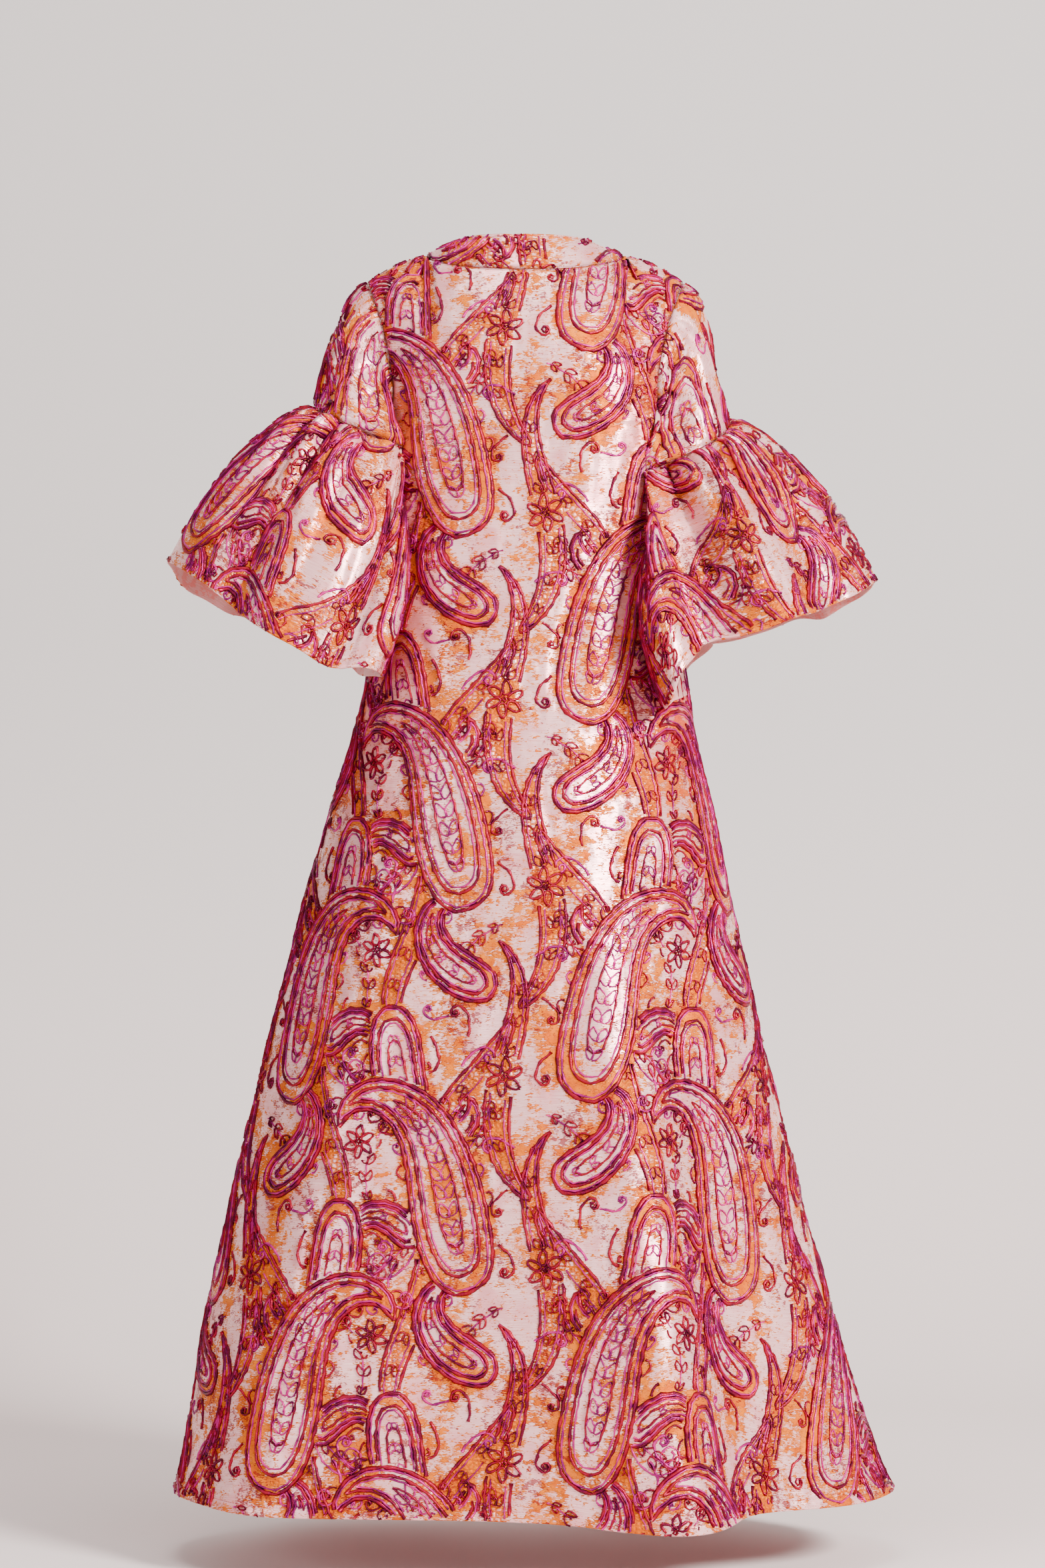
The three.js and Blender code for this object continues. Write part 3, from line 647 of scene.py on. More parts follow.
# A field of the repeat read at places on the flat cloth, between its four nearest grains
def readField(key, flat):
    field = repeatFields[key]
    down, across = field.shape
    x = flat[..., 0] / (2 * repeat["wide"]) * across - 0.5
    y = flat[..., 1] / repeat["high"] * down - 0.5
    i, j = np.floor(x).astype(int), np.floor(y).astype(int)
    a, b = x - i, y - j

    def corner(p, q):
        return field[(j + q) % down, (i + p) % across]

    return mix(mix(corner(0, 0), corner(1, 0), a), mix(corner(0, 1), corner(1, 1), a), b)


# Where each grid point lies on the flat cloth: across by its length along the row from the
# middle column, down by the length of the columns' steps square to the rows, from a zero row
def flatPlaces(points, middle, zero):
    steps = lengthOf(np.diff(points, axis=1))[..., 0]
    across = np.concatenate([np.zeros((len(points), 1)), np.cumsum(steps, 1)], 1)
    across -= across[:, middle:middle + 1]
    along = unit(np.gradient(points, axis=1))
    drops = np.diff(points, axis=0)
    way = (along[1:] + along[:-1]) / 2
    drops = lengthOf(drops - np.sum(drops * way, -1, keepdims=True) * way)[..., 0]
    down = np.concatenate([np.zeros((1, points.shape[1])), np.cumsum(drops, 0)], 0)
    down -= down[zero:zero + 1]
    return np.stack([across, down], -1)


# A surface: a grid of points with its outward normals, its flat places, how far its outer face
# stands off, and values for the material. Outward is away from the given hub of each row.
def makeSurface(points, hub, flat, closed=False):
    if closed:
        wrapped = np.concatenate([points[:, -2:-1], points, points[:, 1:2]], 1)
        along = wrapped[:, 2:] - wrapped[:, :-2]
    else:
        along = np.gradient(points, axis=1)
    normals = unit(np.cross(along, np.gradient(points, axis=0)))
    turn = 1 if np.sum(normals * (points - hub)) > 0 else -1
    return {"points": points, "normals": normals * turn, "turn": turn, "flat": flat, "closed": closed,
            "out": np.full(points.shape[:2], cloth["outer"]), "values": {}}


# Quads between neighbouring rows and columns of an index grid
def gridFaces(index):
    return np.stack([index[:-1, :-1], index[:-1, 1:], index[1:, 1:], index[1:, :-1]], -1).reshape(-1, 4)


# A closed shell from a surface: its outer grid, its inner grid, and rims between them. The
# outer face and the rims at its first and last row take the first material, the rest the second.
def clothShell(name, surface, materials):
    points, normals, flat = surface["points"], surface["normals"], surface["flat"]
    if surface["closed"]:
        points, normals = points[:, :-1], normals[:, :-1]
    rows, across = points.shape[:2]
    stand = surface["out"][:, :across, None]
    outer, inner = points + normals * stand, points + normals * cloth["inner"]
    index = np.arange(rows * across).reshape(rows, across)
    if surface["closed"]:
        index = np.concatenate([index, index[:, :1]], 1)
    under = index + rows * across

    def rim(top, low):
        return np.stack([top[:-1], top[1:], low[1:], low[:-1]], -1)

    def rimPlaces(line, order):
        return np.repeat(np.stack([line[:-1], line[1:]], 1), 2, axis=1)[:, order]

    flatIndex = np.arange(flat.shape[0] * flat.shape[1]).reshape(flat.shape[:2])
    face = flat.reshape(-1, 2)[gridFaces(flatIndex)]
    parts = [gridFaces(index), gridFaces(under)[:, ::-1]]
    parts += [rim(index[0], under[0])[:, ::-1], rim(index[-1], under[-1])]
    places = [face, face[:, ::-1], rimPlaces(flat[0], [3, 2, 1, 0]), rimPlaces(flat[-1], [0, 2, 3, 1])]
    if not surface["closed"]:
        for column, order in ((0, 1), (-1, -1)):
            parts.append(rim(index[:, column], under[:, column])[:, ::order])
            places.append(rimPlaces(flat[:, column], [0, 2, 3, 1])[:, ::order])
    inFace = (0, 2, 3)
    slots = np.concatenate([np.full(len(part), 0 if i in inFace else 1) for i, part in enumerate(parts)])
    faces, places = np.concatenate(parts), np.concatenate(places)
    if surface["turn"] < 0:
        faces, places = faces[:, ::-1], places[:, ::-1]
    values = {key: np.tile(value[:, :across].ravel(), 2) for key, value in surface["values"].items()}
    points = np.concatenate([outer.reshape(-1, 3), inner.reshape(-1, 3)])
    return makePiece(name, points, faces, materials, slots, places, values)


# A grid read between its points
def sample(grid, c, r):
    j = np.clip(r.astype(int), 0, grid.shape[0] - 2)
    i = np.clip(c.astype(int), 0, grid.shape[1] - 2)
    a, b = (c - i)[:, None], (r - j)[:, None]
    return mix(mix(grid[j, i], grid[j, i + 1], a), mix(grid[j + 1, i], grid[j + 1, i + 1], a), b)


search = {"net": 30, "lump": 20000, "steps": 14, "farthest": 12, "near": 0.5, "flattest": 1e-6}


# The grid places of flat-cloth places, by Newton steps from the nearest of a coarse net, and
# whether each one lies on the surface
def findPlaces(surface, wanted):
    flat = surface["flat"]
    rows, across = flat.shape[:2]
    netR, netC = (np.linspace(0, count - 1, search["net"]) for count in (rows, across))
    netC, netR = (net.ravel() for net in np.meshgrid(netC, netR))
    net = sample(flat, netC, netR)
    lumps = np.array_split(wanted, max(1, len(wanted) // search["lump"]))
    nearest = [np.argmin(np.sum((lump[:, None] - net[None]) ** 2, -1), 1) for lump in lumps]
    nearest = np.concatenate(nearest)
    c, r = netC[nearest], netR[nearest]
    for _ in range(search["steps"]):
        miss = wanted - sample(flat, c, r)
        lowC, highC = np.clip(c - 0.5, 0, across - 1), np.clip(c + 0.5, 0, across - 1)
        lowR, highR = np.clip(r - 0.5, 0, rows - 1), np.clip(r + 0.5, 0, rows - 1)
        byC = sample(flat, highC, r) - sample(flat, lowC, r)
        byR = sample(flat, c, highR) - sample(flat, c, lowR)
        det = byC[:, 0] * byR[:, 1] - byC[:, 1] * byR[:, 0]
        det = np.where(np.abs(det) < search["flattest"], search["flattest"], det)
        stepC = (miss[:, 0] * byR[:, 1] - miss[:, 1] * byR[:, 0]) / det
        stepR = (byC[:, 0] * miss[:, 1] - byC[:, 1] * miss[:, 0]) / det
        far = search["farthest"]
        c = np.clip(c + np.clip(stepC, -far, far), 0, across - 1)
        r = np.clip(r + np.clip(stepR, -far, far), 0, rows - 1)
    return c, r, lengthOf(wanted - sample(flat, c, r))[:, 0] < search["near"]


def splitQuads(quads, triangles):  # each quad as two triangles, and then the triangles
    return np.concatenate([quads[:, [0, 1, 2]], quads[:, [0, 2, 3]], triangles])


ridge = {"sink": 0.25, "swells": ((0.2, 1.7, 0), (0.16, 2.9, 1)), "low": 0.4, "phase": 2.3, "phases": 7}


# Ridges laid on a surface along lines of grid places: at each point a base corner on either
# side and a crown above, swept along and closed at both ends. Their width swells a little.
def layCords(surface, runs, height):
    points, faces = [], []
    total = 0
    for (c, r), half, _ in runs:
        at = sample(surface["points"], c, r)
        normal = unit(sample(surface["normals"], c, r))
        base = at + normal * sample(surface["out"][..., None], c, r)
        way = unit(np.gradient(base, axis=0))
        run = np.arange(len(base)) + ridge["phase"] * (len(faces) % ridge["phases"])
        swell = 1 + sum(much * np.sin(run * speed + shift) for much, speed, shift in ridge["swells"])
        swell = swell[:, None]
        side = unit(np.cross(normal, way)) * half * swell
        crown = base + normal * height * (ridge["low"] + (1 - ridge["low"]) * swell)
        low = base - normal * ridge["sink"]
        count = len(base)
        points.append(np.stack([low - side, crown, low + side], 1).reshape(-1, 3))
        index = np.arange(count * 3).reshape(count, 3) + total
        sides = gridFaces(np.concatenate([index, index[:, :1]], 1))
        faces.append(splitQuads(sides, np.stack([index[0], index[-1, ::-1]])))
        total += count * 3
    return np.concatenate(points), np.concatenate(faces)


# The lines of the repeat over a whole surface, as runs of grid places
def clothRuns(surface):
    flat = surface["flat"].reshape(-1, 2)
    (lowX, lowY), (highX, highY) = flat.min(0), flat.max(0)
    wide, high = repeat["wide"], repeat["high"]
    wanted, kinds = [], []
    for column in range(int(lowX // wide) - 1, int(highX // wide) + 2):
        for row in range(int(lowY // high) - 2, int(highY // high) + 2):
            for line, half, lurex in repeatLines:
                across = line[:, 0] if column % 2 == 0 else wide - line[:, 0]
                down = line[:, 1] + row * high + column % 2 * high / 2
                places = np.stack([across + column * wide, down], 1)
                if np.all(places.max(0) > (lowX, lowY)) and np.all(places.min(0) < (highX, highY)):
                    wanted.append(places)
                    kinds.append((half, lurex))
    return flatRuns(surface, wanted, kinds)


# Flat-cloth lines cut where they leave the surface
def flatRuns(surface, wanted, kinds):
    c, r, on = findPlaces(surface, np.concatenate(wanted))
    rows, across = surface["flat"].shape[:2]
    on &= (r > 0.02) & (r < rows - 1.02) & (c > 0.02) & (c < across - 1.02)
    runs, first = [], 0
    for places, (half, kind) in zip(wanted, kinds):
        span = slice(first, first + len(places))
        for start, stop in stretches(on[span]):
            if stop - start >= 2:
                part = slice(first + start, first + stop)
                runs.append(((c[part], r[part]), half, kind))
        first += len(places)
    return runs


# A shader group whose inputs without a number are vectors
def newGroup(name, inputs, outputs):
    group = bpy.data.node_groups.new(name, "ShaderNodeTree")
    for label, value in inputs.items():
        kind = "NodeSocketVector" if value is None else "NodeSocketFloat"
        socket = group.interface.new_socket(name=label, in_out="INPUT", socket_type=kind)
        if value is not None:
            socket.default_value = value
    for label in outputs:
        group.interface.new_socket(name=label, in_out="OUTPUT", socket_type="NodeSocketFloat")
    given, out = (group.nodes.new("NodeGroup" + end) for end in ("Input", "Output"))
    return group, given.outputs, out.inputs


# A socket gets a link from another node's output, or a value of its own
def setSocket(tree, socket, value):
    if isinstance(value, bpy.types.NodeSocket):
        tree.links.new(value, socket)
    else:
        socket.default_value = value


def addNode(tree, kind, **given):  # settings and inputs by their names
    node = tree.nodes.new(kind)
    for key, value in given.items():
        if key in node.bl_rna.properties:
            setattr(node, key, value)
        else:
            setSocket(tree, node.inputs[key], value)
    return node


def addMath(tree, operation, a, b):
    node = addNode(tree, "ShaderNodeMath", operation=operation)
    for socket, value in zip(node.inputs, (a, b)):
        setSocket(tree, socket, value)
    return node.outputs[0]


def times(tree, a, b):
    return addMath(tree, "MULTIPLY", a, b)


def addRange(tree, value, low, high, toLow=0.0, toHigh=1.0, kind="SMOOTHSTEP"):
    node = addNode(tree, "ShaderNodeMapRange", interpolation_type=kind, Value=value)
    for key, number in (("From Min", low), ("From Max", high), ("To Min", toLow), ("To Max", toHigh)):
        node.inputs[key].default_value = number
    return node.outputs["Result"]


def addMix(tree, share, a, b):
    node = addNode(tree, "ShaderNodeMix", data_type="RGBA")
    for key, value in (("Factor", share), (6, a), (7, b)):
        setSocket(tree, node.inputs[key], (*value, 1) if isinstance(value, tuple) else value)
    return node.outputs[2]


def movePlaces(tree, vector, stretch, shift=(0.0, 0.0), turn=0.0):
    shift, turn, stretch = (*shift, 0.0), (0.0, 0.0, turn), (*stretch, 1.0)
    node = addNode(tree, "ShaderNodeMapping", Location=shift, Rotation=turn, Scale=stretch, Vector=vector)
    return node.outputs[0]


def addNoise(tree, vector, stretch, detail=2.0, rough=0.5):
    places = movePlaces(tree, vector, stretch)
    node = addNode(tree, "ShaderNodeTexNoise", Scale=1.0, Detail=detail, Roughness=rough, Vector=places)
    return node.outputs["Fac"]


def addPatches(tree, vector, look):  # noise brought to a range
    return addRange(tree, addNoise(tree, vector, look["stretch"], look["detail"]), *look["range"])


def addBump(tree, strength, distance, height, **given):
    node = addNode(tree, "ShaderNodeBump", Strength=strength, Distance=distance, Height=height, **given)
    return node.outputs[0]


def useGroup(tree, group, **given):
    return addNode(tree, "ShaderNodeGroup", node_tree=group, **given).outputs


def readValue(tree, name):
    return addNode(tree, "ShaderNodeAttribute", attribute_name=name).outputs["Fac"]


def newMaterial(name):
    material = bpy.data.materials.new(name)
    material.use_nodes = True
    tree = material.node_tree
    return material, tree, tree.nodes["Principled BSDF"].inputs


# Satin: level slubs along the width and patches of tone, as a tone mask and a height
satinLook = {
    "slub": (38.0, 1500.0), "slubRange": (0.36, 0.66),
    "patch": (22.0, 30.0), "patchRange": (0.3, 0.7, 0.55, 1.0),
}


def satinGroup():
    group, given, out = newGroup("satinSlubs", {"Vector": None}, ("Tone", "Height"))
    slub = addNoise(group, given["Vector"], satinLook["slub"], 1.0)
    patch = addNoise(group, given["Vector"], satinLook["patch"], 2.0)
    tone = addRange(group, slub, *satinLook["slubRange"])
    setSocket(group, out["Tone"], times(group, tone, addRange(group, patch, *satinLook["patchRange"])))
    setSocket(group, out["Height"], slub)
    return group


# Picks: short level floats that come up where a density says so, in ragged clusters
pickLook = {
    "dash": (170.0, 620.0), "dashShare": 0.36, "clump": (62.0, 84.0), "clumpShare": 0.64, "clumpRough": 0.6,
    "range": (0.38, 0.63), "mask": 0.07, "height": 0.22,
}


def picksGroup():
    group, given, out = newGroup("brocadePicks", {"Vector": None, "Density": 0.5}, ("Mask", "Height"))
    dash = addNoise(group, given["Vector"], pickLook["dash"], 1.0)
    clump = addNoise(group, given["Vector"], pickLook["clump"], 3.0, pickLook["clumpRough"])
    dash, clump = times(group, dash, pickLook["dashShare"]), times(group, clump, pickLook["clumpShare"])
    both = addMath(group, "ADD", dash, clump)
    spread = addRange(group, both, *pickLook["range"], kind="LINEAR")
    over = addMath(group, "ADD", addMath(group, "SUBTRACT", spread, 1.0), given["Density"])
    setSocket(group, out["Mask"], addRange(group, over, 0.0, pickLook["mask"]))
    setSocket(group, out["Height"], addRange(group, over, 0.0, pickLook["height"]))
    return group


# Scales: a net of rounded cells, a little wider than high, as a mask of its strings and the
# height of its cells
scaleLook = {
    "stretch": (150.0, 185.0), "ragged": 0.62, "string": (0.13, 0.24, 1.0, 0.0), "cell": (0.0, 0.4),
    "amount": (0.35, 0.65),
}


def scalesGroup():
    group, given, out = newGroup("scaleNet", {"Vector": None, "Amount": 0.5}, ("Mask", "Height"))
    cells = addNode(
        group, "ShaderNodeTexVoronoi", voronoi_dimensions="2D", feature="DISTANCE_TO_EDGE", Scale=1.0,
        Randomness=scaleLook["ragged"], Vector=movePlaces(group, given["Vector"], scaleLook["stretch"]),
    ).outputs["Distance"]
    amount = addRange(group, given["Amount"], *scaleLook["amount"])
    setSocket(group, out["Mask"], times(group, addRange(group, cells, *scaleLook["string"]), amount))
    setSocket(group, out["Height"], times(group, addRange(group, cells, *scaleLook["cell"]), amount))
    return group


glintRange = (0.42, 0.62)


# Glint: small sparks along a metallic yarn, where it is more metallic and smoother and where its colour takes
# a painted magenta glint
def glintGroup():
    group, given, out = newGroup("yarnGlint", {"Vector": None, "Scale": 700.0}, ("Mask",))
    noise = addNode(group, "ShaderNodeTexNoise", Detail=1.0, Vector=given["Vector"], Scale=given["Scale"])
    setSocket(group, out["Mask"], addRange(group, noise.outputs["Fac"], *glintRange))
    return group


satinSlubs, brocadePicks, scaleNet, yarnGlint = satinGroup(), picksGroup(), scalesGroup(), glintGroup()

dyes = {
    "blushLight": (0.93, 0.535, 0.52), "blushDeep": (0.75, 0.30, 0.31), "orange": (0.62, 0.105, 0.001),
    "amber": (0.72, 0.17, 0.006), "coral": (0.70, 0.06, 0.05), "crimson": (0.29, 0.004, 0.010),
    "wine": (0.09, 0.002, 0.010), "magenta": (0.52, 0.012, 0.20), "purple": (0.15, 0.004, 0.085),
    "rose": (0.74, 0.23, 0.25), "reverse": (0.58, 0.27, 0.24),
}
patches = {
    "drift": {"stretch": (17.0, 11.0), "detail": 2.0, "range": (0.43, 0.65, 0.0, 0.44)},
    "rose": {"stretch": (26.0, 18.0), "detail": 1.0, "range": (0.46, 0.68, 0.0, 0.6)},
    "thread": {"stretch": (60.0, 60.0), "detail": 1.0, "range": (0.36, 0.64)},
    "scatter": {"stretch": (21.0, 14.0), "detail": 2.0, "range": (0.44, 0.65, 0.0, 0.5)},
    "tuft": {"stretch": (210.0, 210.0), "detail": 1.0, "range": (0.42, 0.58)},
}
moved = {  # where the further layers of picks take their places, so that none repeats another
    "dashes": {"stretch": (1.9, 2.3), "shift": (0.11, 0.47)},
    "flecks": {"stretch": (1.25, 0.8), "shift": (0.37, 0.21)},
    "strays": {"stretch": (1.6, 1.5), "shift": (0.73, 0.09)},
    "tufts": {"stretch": (1.4, 0.7), "turn": 1.2},
}
# Of these layers, wine is a painted crimson shadow beside the cords, and edge a painted wine shade along the
# seams
strength = {  # in the order in which the layers lie over the satin
    "dashes": 0.8, "picks": 0.98, "scales": 0.9, "wine": 0.22,
    "flecks": 0.8, "strays": 0.8, "tufts": 0.9, "edge": 0.75,
}
height = {"picks": 1.0, "scales": 0.8, "dashes": 0.35, "flecks": 0.7, "tufts": 1.4, "strays": 0.6}
satinHeight = 0.14
maskedInputs = {  # the mask that changes it, and its value without and with that mask
    "Roughness": ("picks", 0.34, 0.55), "Metallic": ("cover", 0.4, 0.3),
    "Specular IOR Level": ("cover", 0.5, 0.08),
}
reverseLook = {"picks": 0.5, "Roughness": 0.6, "Sheen Weight": 0.2}
density = {"mesh": 0.16, "dashes": 0.95, "flecks": 0.8, "tufts": 0.74}
bumps = {"pucker": (0.4, 0.006), "face": (0.95, 0.0011), "reverse": (0.5, 0.0005), "yarn": (0.6, 0.0004)}
puckers = {"stretch": (48.0, 27.0), "detail": 1.5, "rough": 0.4}


# The cloth's face: blush satin, then layers of orange, crimson and magenta picks and a scale
# net, with a painted coral glow of bounced light in the shade near the arms and in the flounces'
# hollows, a painted crimson shadow beside the cords and a painted wine shade along the seams
def faceMaterial(name):
    material, tree, shader = newMaterial(name)
    vector = addNode(tree, "ShaderNodeUVMap", uv_map="cut").outputs["UV"]
    satin = useGroup(tree, satinSlubs, Vector=vector)
    warm, wine, mesh = (readValue(tree, key) for key in ("warm", "wine", "mesh"))
    dense = addMath(tree, "ADD", readValue(tree, "orange"), addPatches(tree, vector, patches["drift"]))
    dense = addMath(tree, "SUBTRACT", dense, times(tree, mesh, density["mesh"]))

    def morePicks(key, amount):
        return useGroup(tree, brocadePicks, Vector=movePlaces(tree, vector, **moved[key]), Density=amount)

    layers = {
        "picks": useGroup(tree, brocadePicks, Vector=vector, Density=dense),
        "scales": useGroup(tree, scaleNet, Vector=vector, Amount=mesh),
        "dashes": morePicks("dashes", times(tree, dense, density["dashes"])),
        "flecks": morePicks("flecks", times(tree, wine, density["flecks"])),
        "strays": morePicks("strays", addPatches(tree, vector, patches["scatter"])),
        "tufts": morePicks("tufts", times(tree, readValue(tree, "spray"), density["tufts"])),
    }
    masks = {key: layer["Mask"] for key, layer in layers.items()}
    # The edge mask lays a painted wine shade along the seams' ditches, and the wine mask a painted crimson
    # shadow beside the cords
    masks["wine"], masks["edge"] = wine, readValue(tree, "edge")
    thread = addMix(tree, addPatches(tree, vector, patches["thread"]), dyes["orange"], dyes["amber"])
    # The picks, too, turn coral in the painted glow of bounced light
    dyed = {
        "dashes": dyes["amber"], "picks": addMix(tree, warm, thread, dyes["coral"]), "scales": dyes["orange"],
        "wine": dyes["crimson"], "flecks": dyes["crimson"], "strays": dyes["crimson"],
        "tufts": addMix(tree, addPatches(tree, vector, patches["tuft"]), dyes["magenta"], dyes["purple"]),
        "edge": dyes["wine"],
    }
    colour = addMix(tree, satin["Tone"], dyes["blushLight"], dyes["blushDeep"])
    colour = addMix(tree, addPatches(tree, vector, patches["rose"]), colour, dyes["rose"])
    # Painted glow: coral where bounced light falls in the shade near the arms and in the flounces' hollows
    colour = addMix(tree, warm, colour, dyes["coral"])
    for key, share in strength.items():
        colour = addMix(tree, times(tree, masks[key], share), colour, dyed[key])
    cover = addMath(tree, "MAXIMUM", masks["dashes"], masks["scales"])
    masks["cover"] = addMath(tree, "MAXIMUM", masks["picks"], cover)
    lift = times(tree, satin["Height"], satinHeight)
    for key, share in height.items():
        lift = addMath(tree, "ADD", lift, times(tree, layers[key]["Height"], share))
    pucker = addNoise(tree, vector, puckers["stretch"], puckers["detail"], puckers["rough"])
    pucker = addBump(tree, *bumps["pucker"], pucker)
    setSocket(tree, shader["Base Color"], colour)
    for key, (mask, without, full) in maskedInputs.items():
        setSocket(tree, shader[key], addRange(tree, masks[mask], 0.0, 1.0, without, full))
    setSocket(tree, shader["Normal"], addBump(tree, *bumps["face"], lift, Normal=pucker))
    return material


# The cloth's reverse: its floats dulled and blurred, without the raised yarns
def reverseMaterial():
    material, tree, shader = newMaterial("brocadeReverse")
    vector = addNode(tree, "ShaderNodeUVMap", uv_map="cut").outputs["UV"]
    satin = useGroup(tree, satinSlubs, Vector=vector)
    picks = useGroup(tree, brocadePicks, Vector=vector, Density=readValue(tree, "orange"))
    ground = addMix(tree, satin["Tone"], dyes["reverse"], dyes["blushDeep"])
    colour = addMix(tree, times(tree, picks["Mask"], reverseLook["picks"]), ground, dyes["coral"])
    setSocket(tree, shader["Base Color"], colour)
    for key in ("Roughness", "Sheen Weight"):
        setSocket(tree, shader[key], reverseLook[key])
    setSocket(tree, shader["Normal"], addBump(tree, *bumps["reverse"], satin["Height"]))
    return material


yarnLook = {"patch": 55.0, "patchRange": (0.42, 0.6), "twist": 900.0, "glint": 620.0, "shine": 0.2}
# The share of sparks is how much painted magenta glint colour the yarn takes at its sparks
yarns = {  # the two dyes, and how much it sparks, how metallic and how rough it is
    "crimsonCord": ("crimson", "wine", 0.2, 0.75, 0.34),
    "lurexCord": ("magenta", "purple", 0.45, 0.62, 0.28),
    "sewingThread": ("coral", "crimson", 0.0, 0.1, 0.5),
}


# A raised yarn: two dyes in patches along it, with sparks where it is more metallic and smoother, and a
# painted magenta glint in its colour there
def yarnMaterial(name, first, second, paintedGlint, metallic, roughness):
    material, tree, shader = newMaterial(name)
    place = tree.nodes.new("ShaderNodeTexCoord").outputs["Object"]
    patch = addNode(tree, "ShaderNodeTexNoise", Scale=yarnLook["patch"], Detail=2.0, Vector=place)
    twist = addNode(tree, "ShaderNodeTexNoise", Scale=yarnLook["twist"], Detail=1.0, Vector=place)
    glint = useGroup(tree, yarnGlint, Vector=place, Scale=yarnLook["glint"])["Mask"]
    mottle = addRange(tree, patch.outputs["Fac"], *yarnLook["patchRange"])
    colour = addMix(tree, mottle, dyes[first], dyes[second])
    # Painted glint: the colour pulled towards magenta at the sparks
    colour = addMix(tree, times(tree, glint, paintedGlint), colour, dyes["magenta"])
    setSocket(tree, shader["Base Color"], colour)
    setSocket(tree, shader["Metallic"], addRange(tree, glint, 0.0, 1.0, metallic * 0.7, metallic))
    setSocket(tree, shader["Roughness"], addRange(tree, glint, 0.0, 1.0, roughness + 0.15, roughness))
    setSocket(tree, shader["Specular IOR Level"], yarnLook["shine"])
    setSocket(tree, shader["Normal"], addBump(tree, *bumps["yarn"], twist.outputs["Fac"]))
    return material


# The studio paper: a floor that bends up into a wall, a profile of depth and height carried
# straight across. The floor's colour runs into the wall's over the bend.
def makeStudio():
    turn = np.linspace(0, np.pi / 2, 17)
    bend = studio["wall"] + studio["bend"] - studio["bend"] * np.sin(turn)
    depth = np.concatenate([[studio["near"]], bend, [studio["wall"]]])
    rise = studio["bend"] * (1 - np.cos(turn))
    level = np.concatenate([[0], rise, [studio["high"]]]) + studio["floor"]
    across = np.array([studio["halfWide"], -studio["halfWide"]])
    points = np.stack(np.broadcast_arrays(across[None, :], depth[:, None], level[:, None]), -1)
    rows = len(depth)
    corner = np.arange(rows * 2).reshape(rows, 2)
    faces = np.stack([corner[:-1, 0], corner[:-1, 1], corner[1:, 1], corner[1:, 0]], -1)
    paper, tree, shader = newMaterial("studioPaper")
    place = tree.nodes.new("ShaderNodeTexCoord").outputs["Object"]
    place = addNode(tree, "ShaderNodeSeparateXYZ", Vector=place).outputs["Z"]
    bent = addRange(tree, place, studio["floor"], studio["floor"] + studio["bend"])
    setSocket(tree, shader["Base Color"], addMix(tree, bent, studio["floorPaper"], studio["paper"]))
    setSocket(tree, shader["Roughness"], studio["rough"])
    makePiece("studioPaper", points.reshape(-1, 3) / millimetre, faces[:, ::-1], [paper])


makeStudio()
clothMaterials = [faceMaterial("brocadeFace"), reverseMaterial()]
crimsonCord, lurexCord, sewingThread = (yarnMaterial(name, *look) for name, look in yarns.items())
print("paper and materials made")

seamPinch = {"reach": 3.0, "depth": 0.85, "calm": 14}
hemTurn = {
    "deep": 12, "openDeep": 9, "thick": 0.45, "groove": 0.5, "grooveWide": 1.2,
    "round": 1.5, "rounded": 0.6, "calm": 0.45, "calmOver": 12, "rows": [1.2, 3, 7, 10.5, 12, 13.5, 17],
}
stitch = {"long": 2.6, "gap": 1.3, "fromEnd": 3, "half": 0.35, "height": 0.35}
relief = {"height": 2.3, "thinnest": 0.15, "thickest": 3.2}
cordKinds = [("Cords", crimsonCord, 2.4), ("MetalCords", lurexCord, 1.7)]  # ending, yarn, height


# The distance from a grid's rows or columns to one of its edges, along the grid
def edgeDistance(points, axis, end):
    steps = lengthOf(np.diff(points, axis=axis))[..., 0]
    zero = np.zeros_like(np.take(steps, [0], axis))
    run = np.concatenate([zero, np.cumsum(steps, axis)], axis)
    return run if end == 0 else np.take(run, [-1], axis) - run


# The stitches along the hems, as short runs of grid places
def stitchRuns(surface, hems):
    runs = []
    for c, r in hems:
        run = runOf(sample(surface["points"], c, r))
        pitch = stitch["long"] + stitch["gap"]
        for start in np.arange(stitch["fromEnd"], run[-1] - stitch["fromEnd"], pitch):
            along = start + np.array([0, 0.5, 1]) * stitch["long"]
            runs.append(((np.interp(along, run, c), np.interp(along, run, r)), stitch["half"], 0))
    return runs
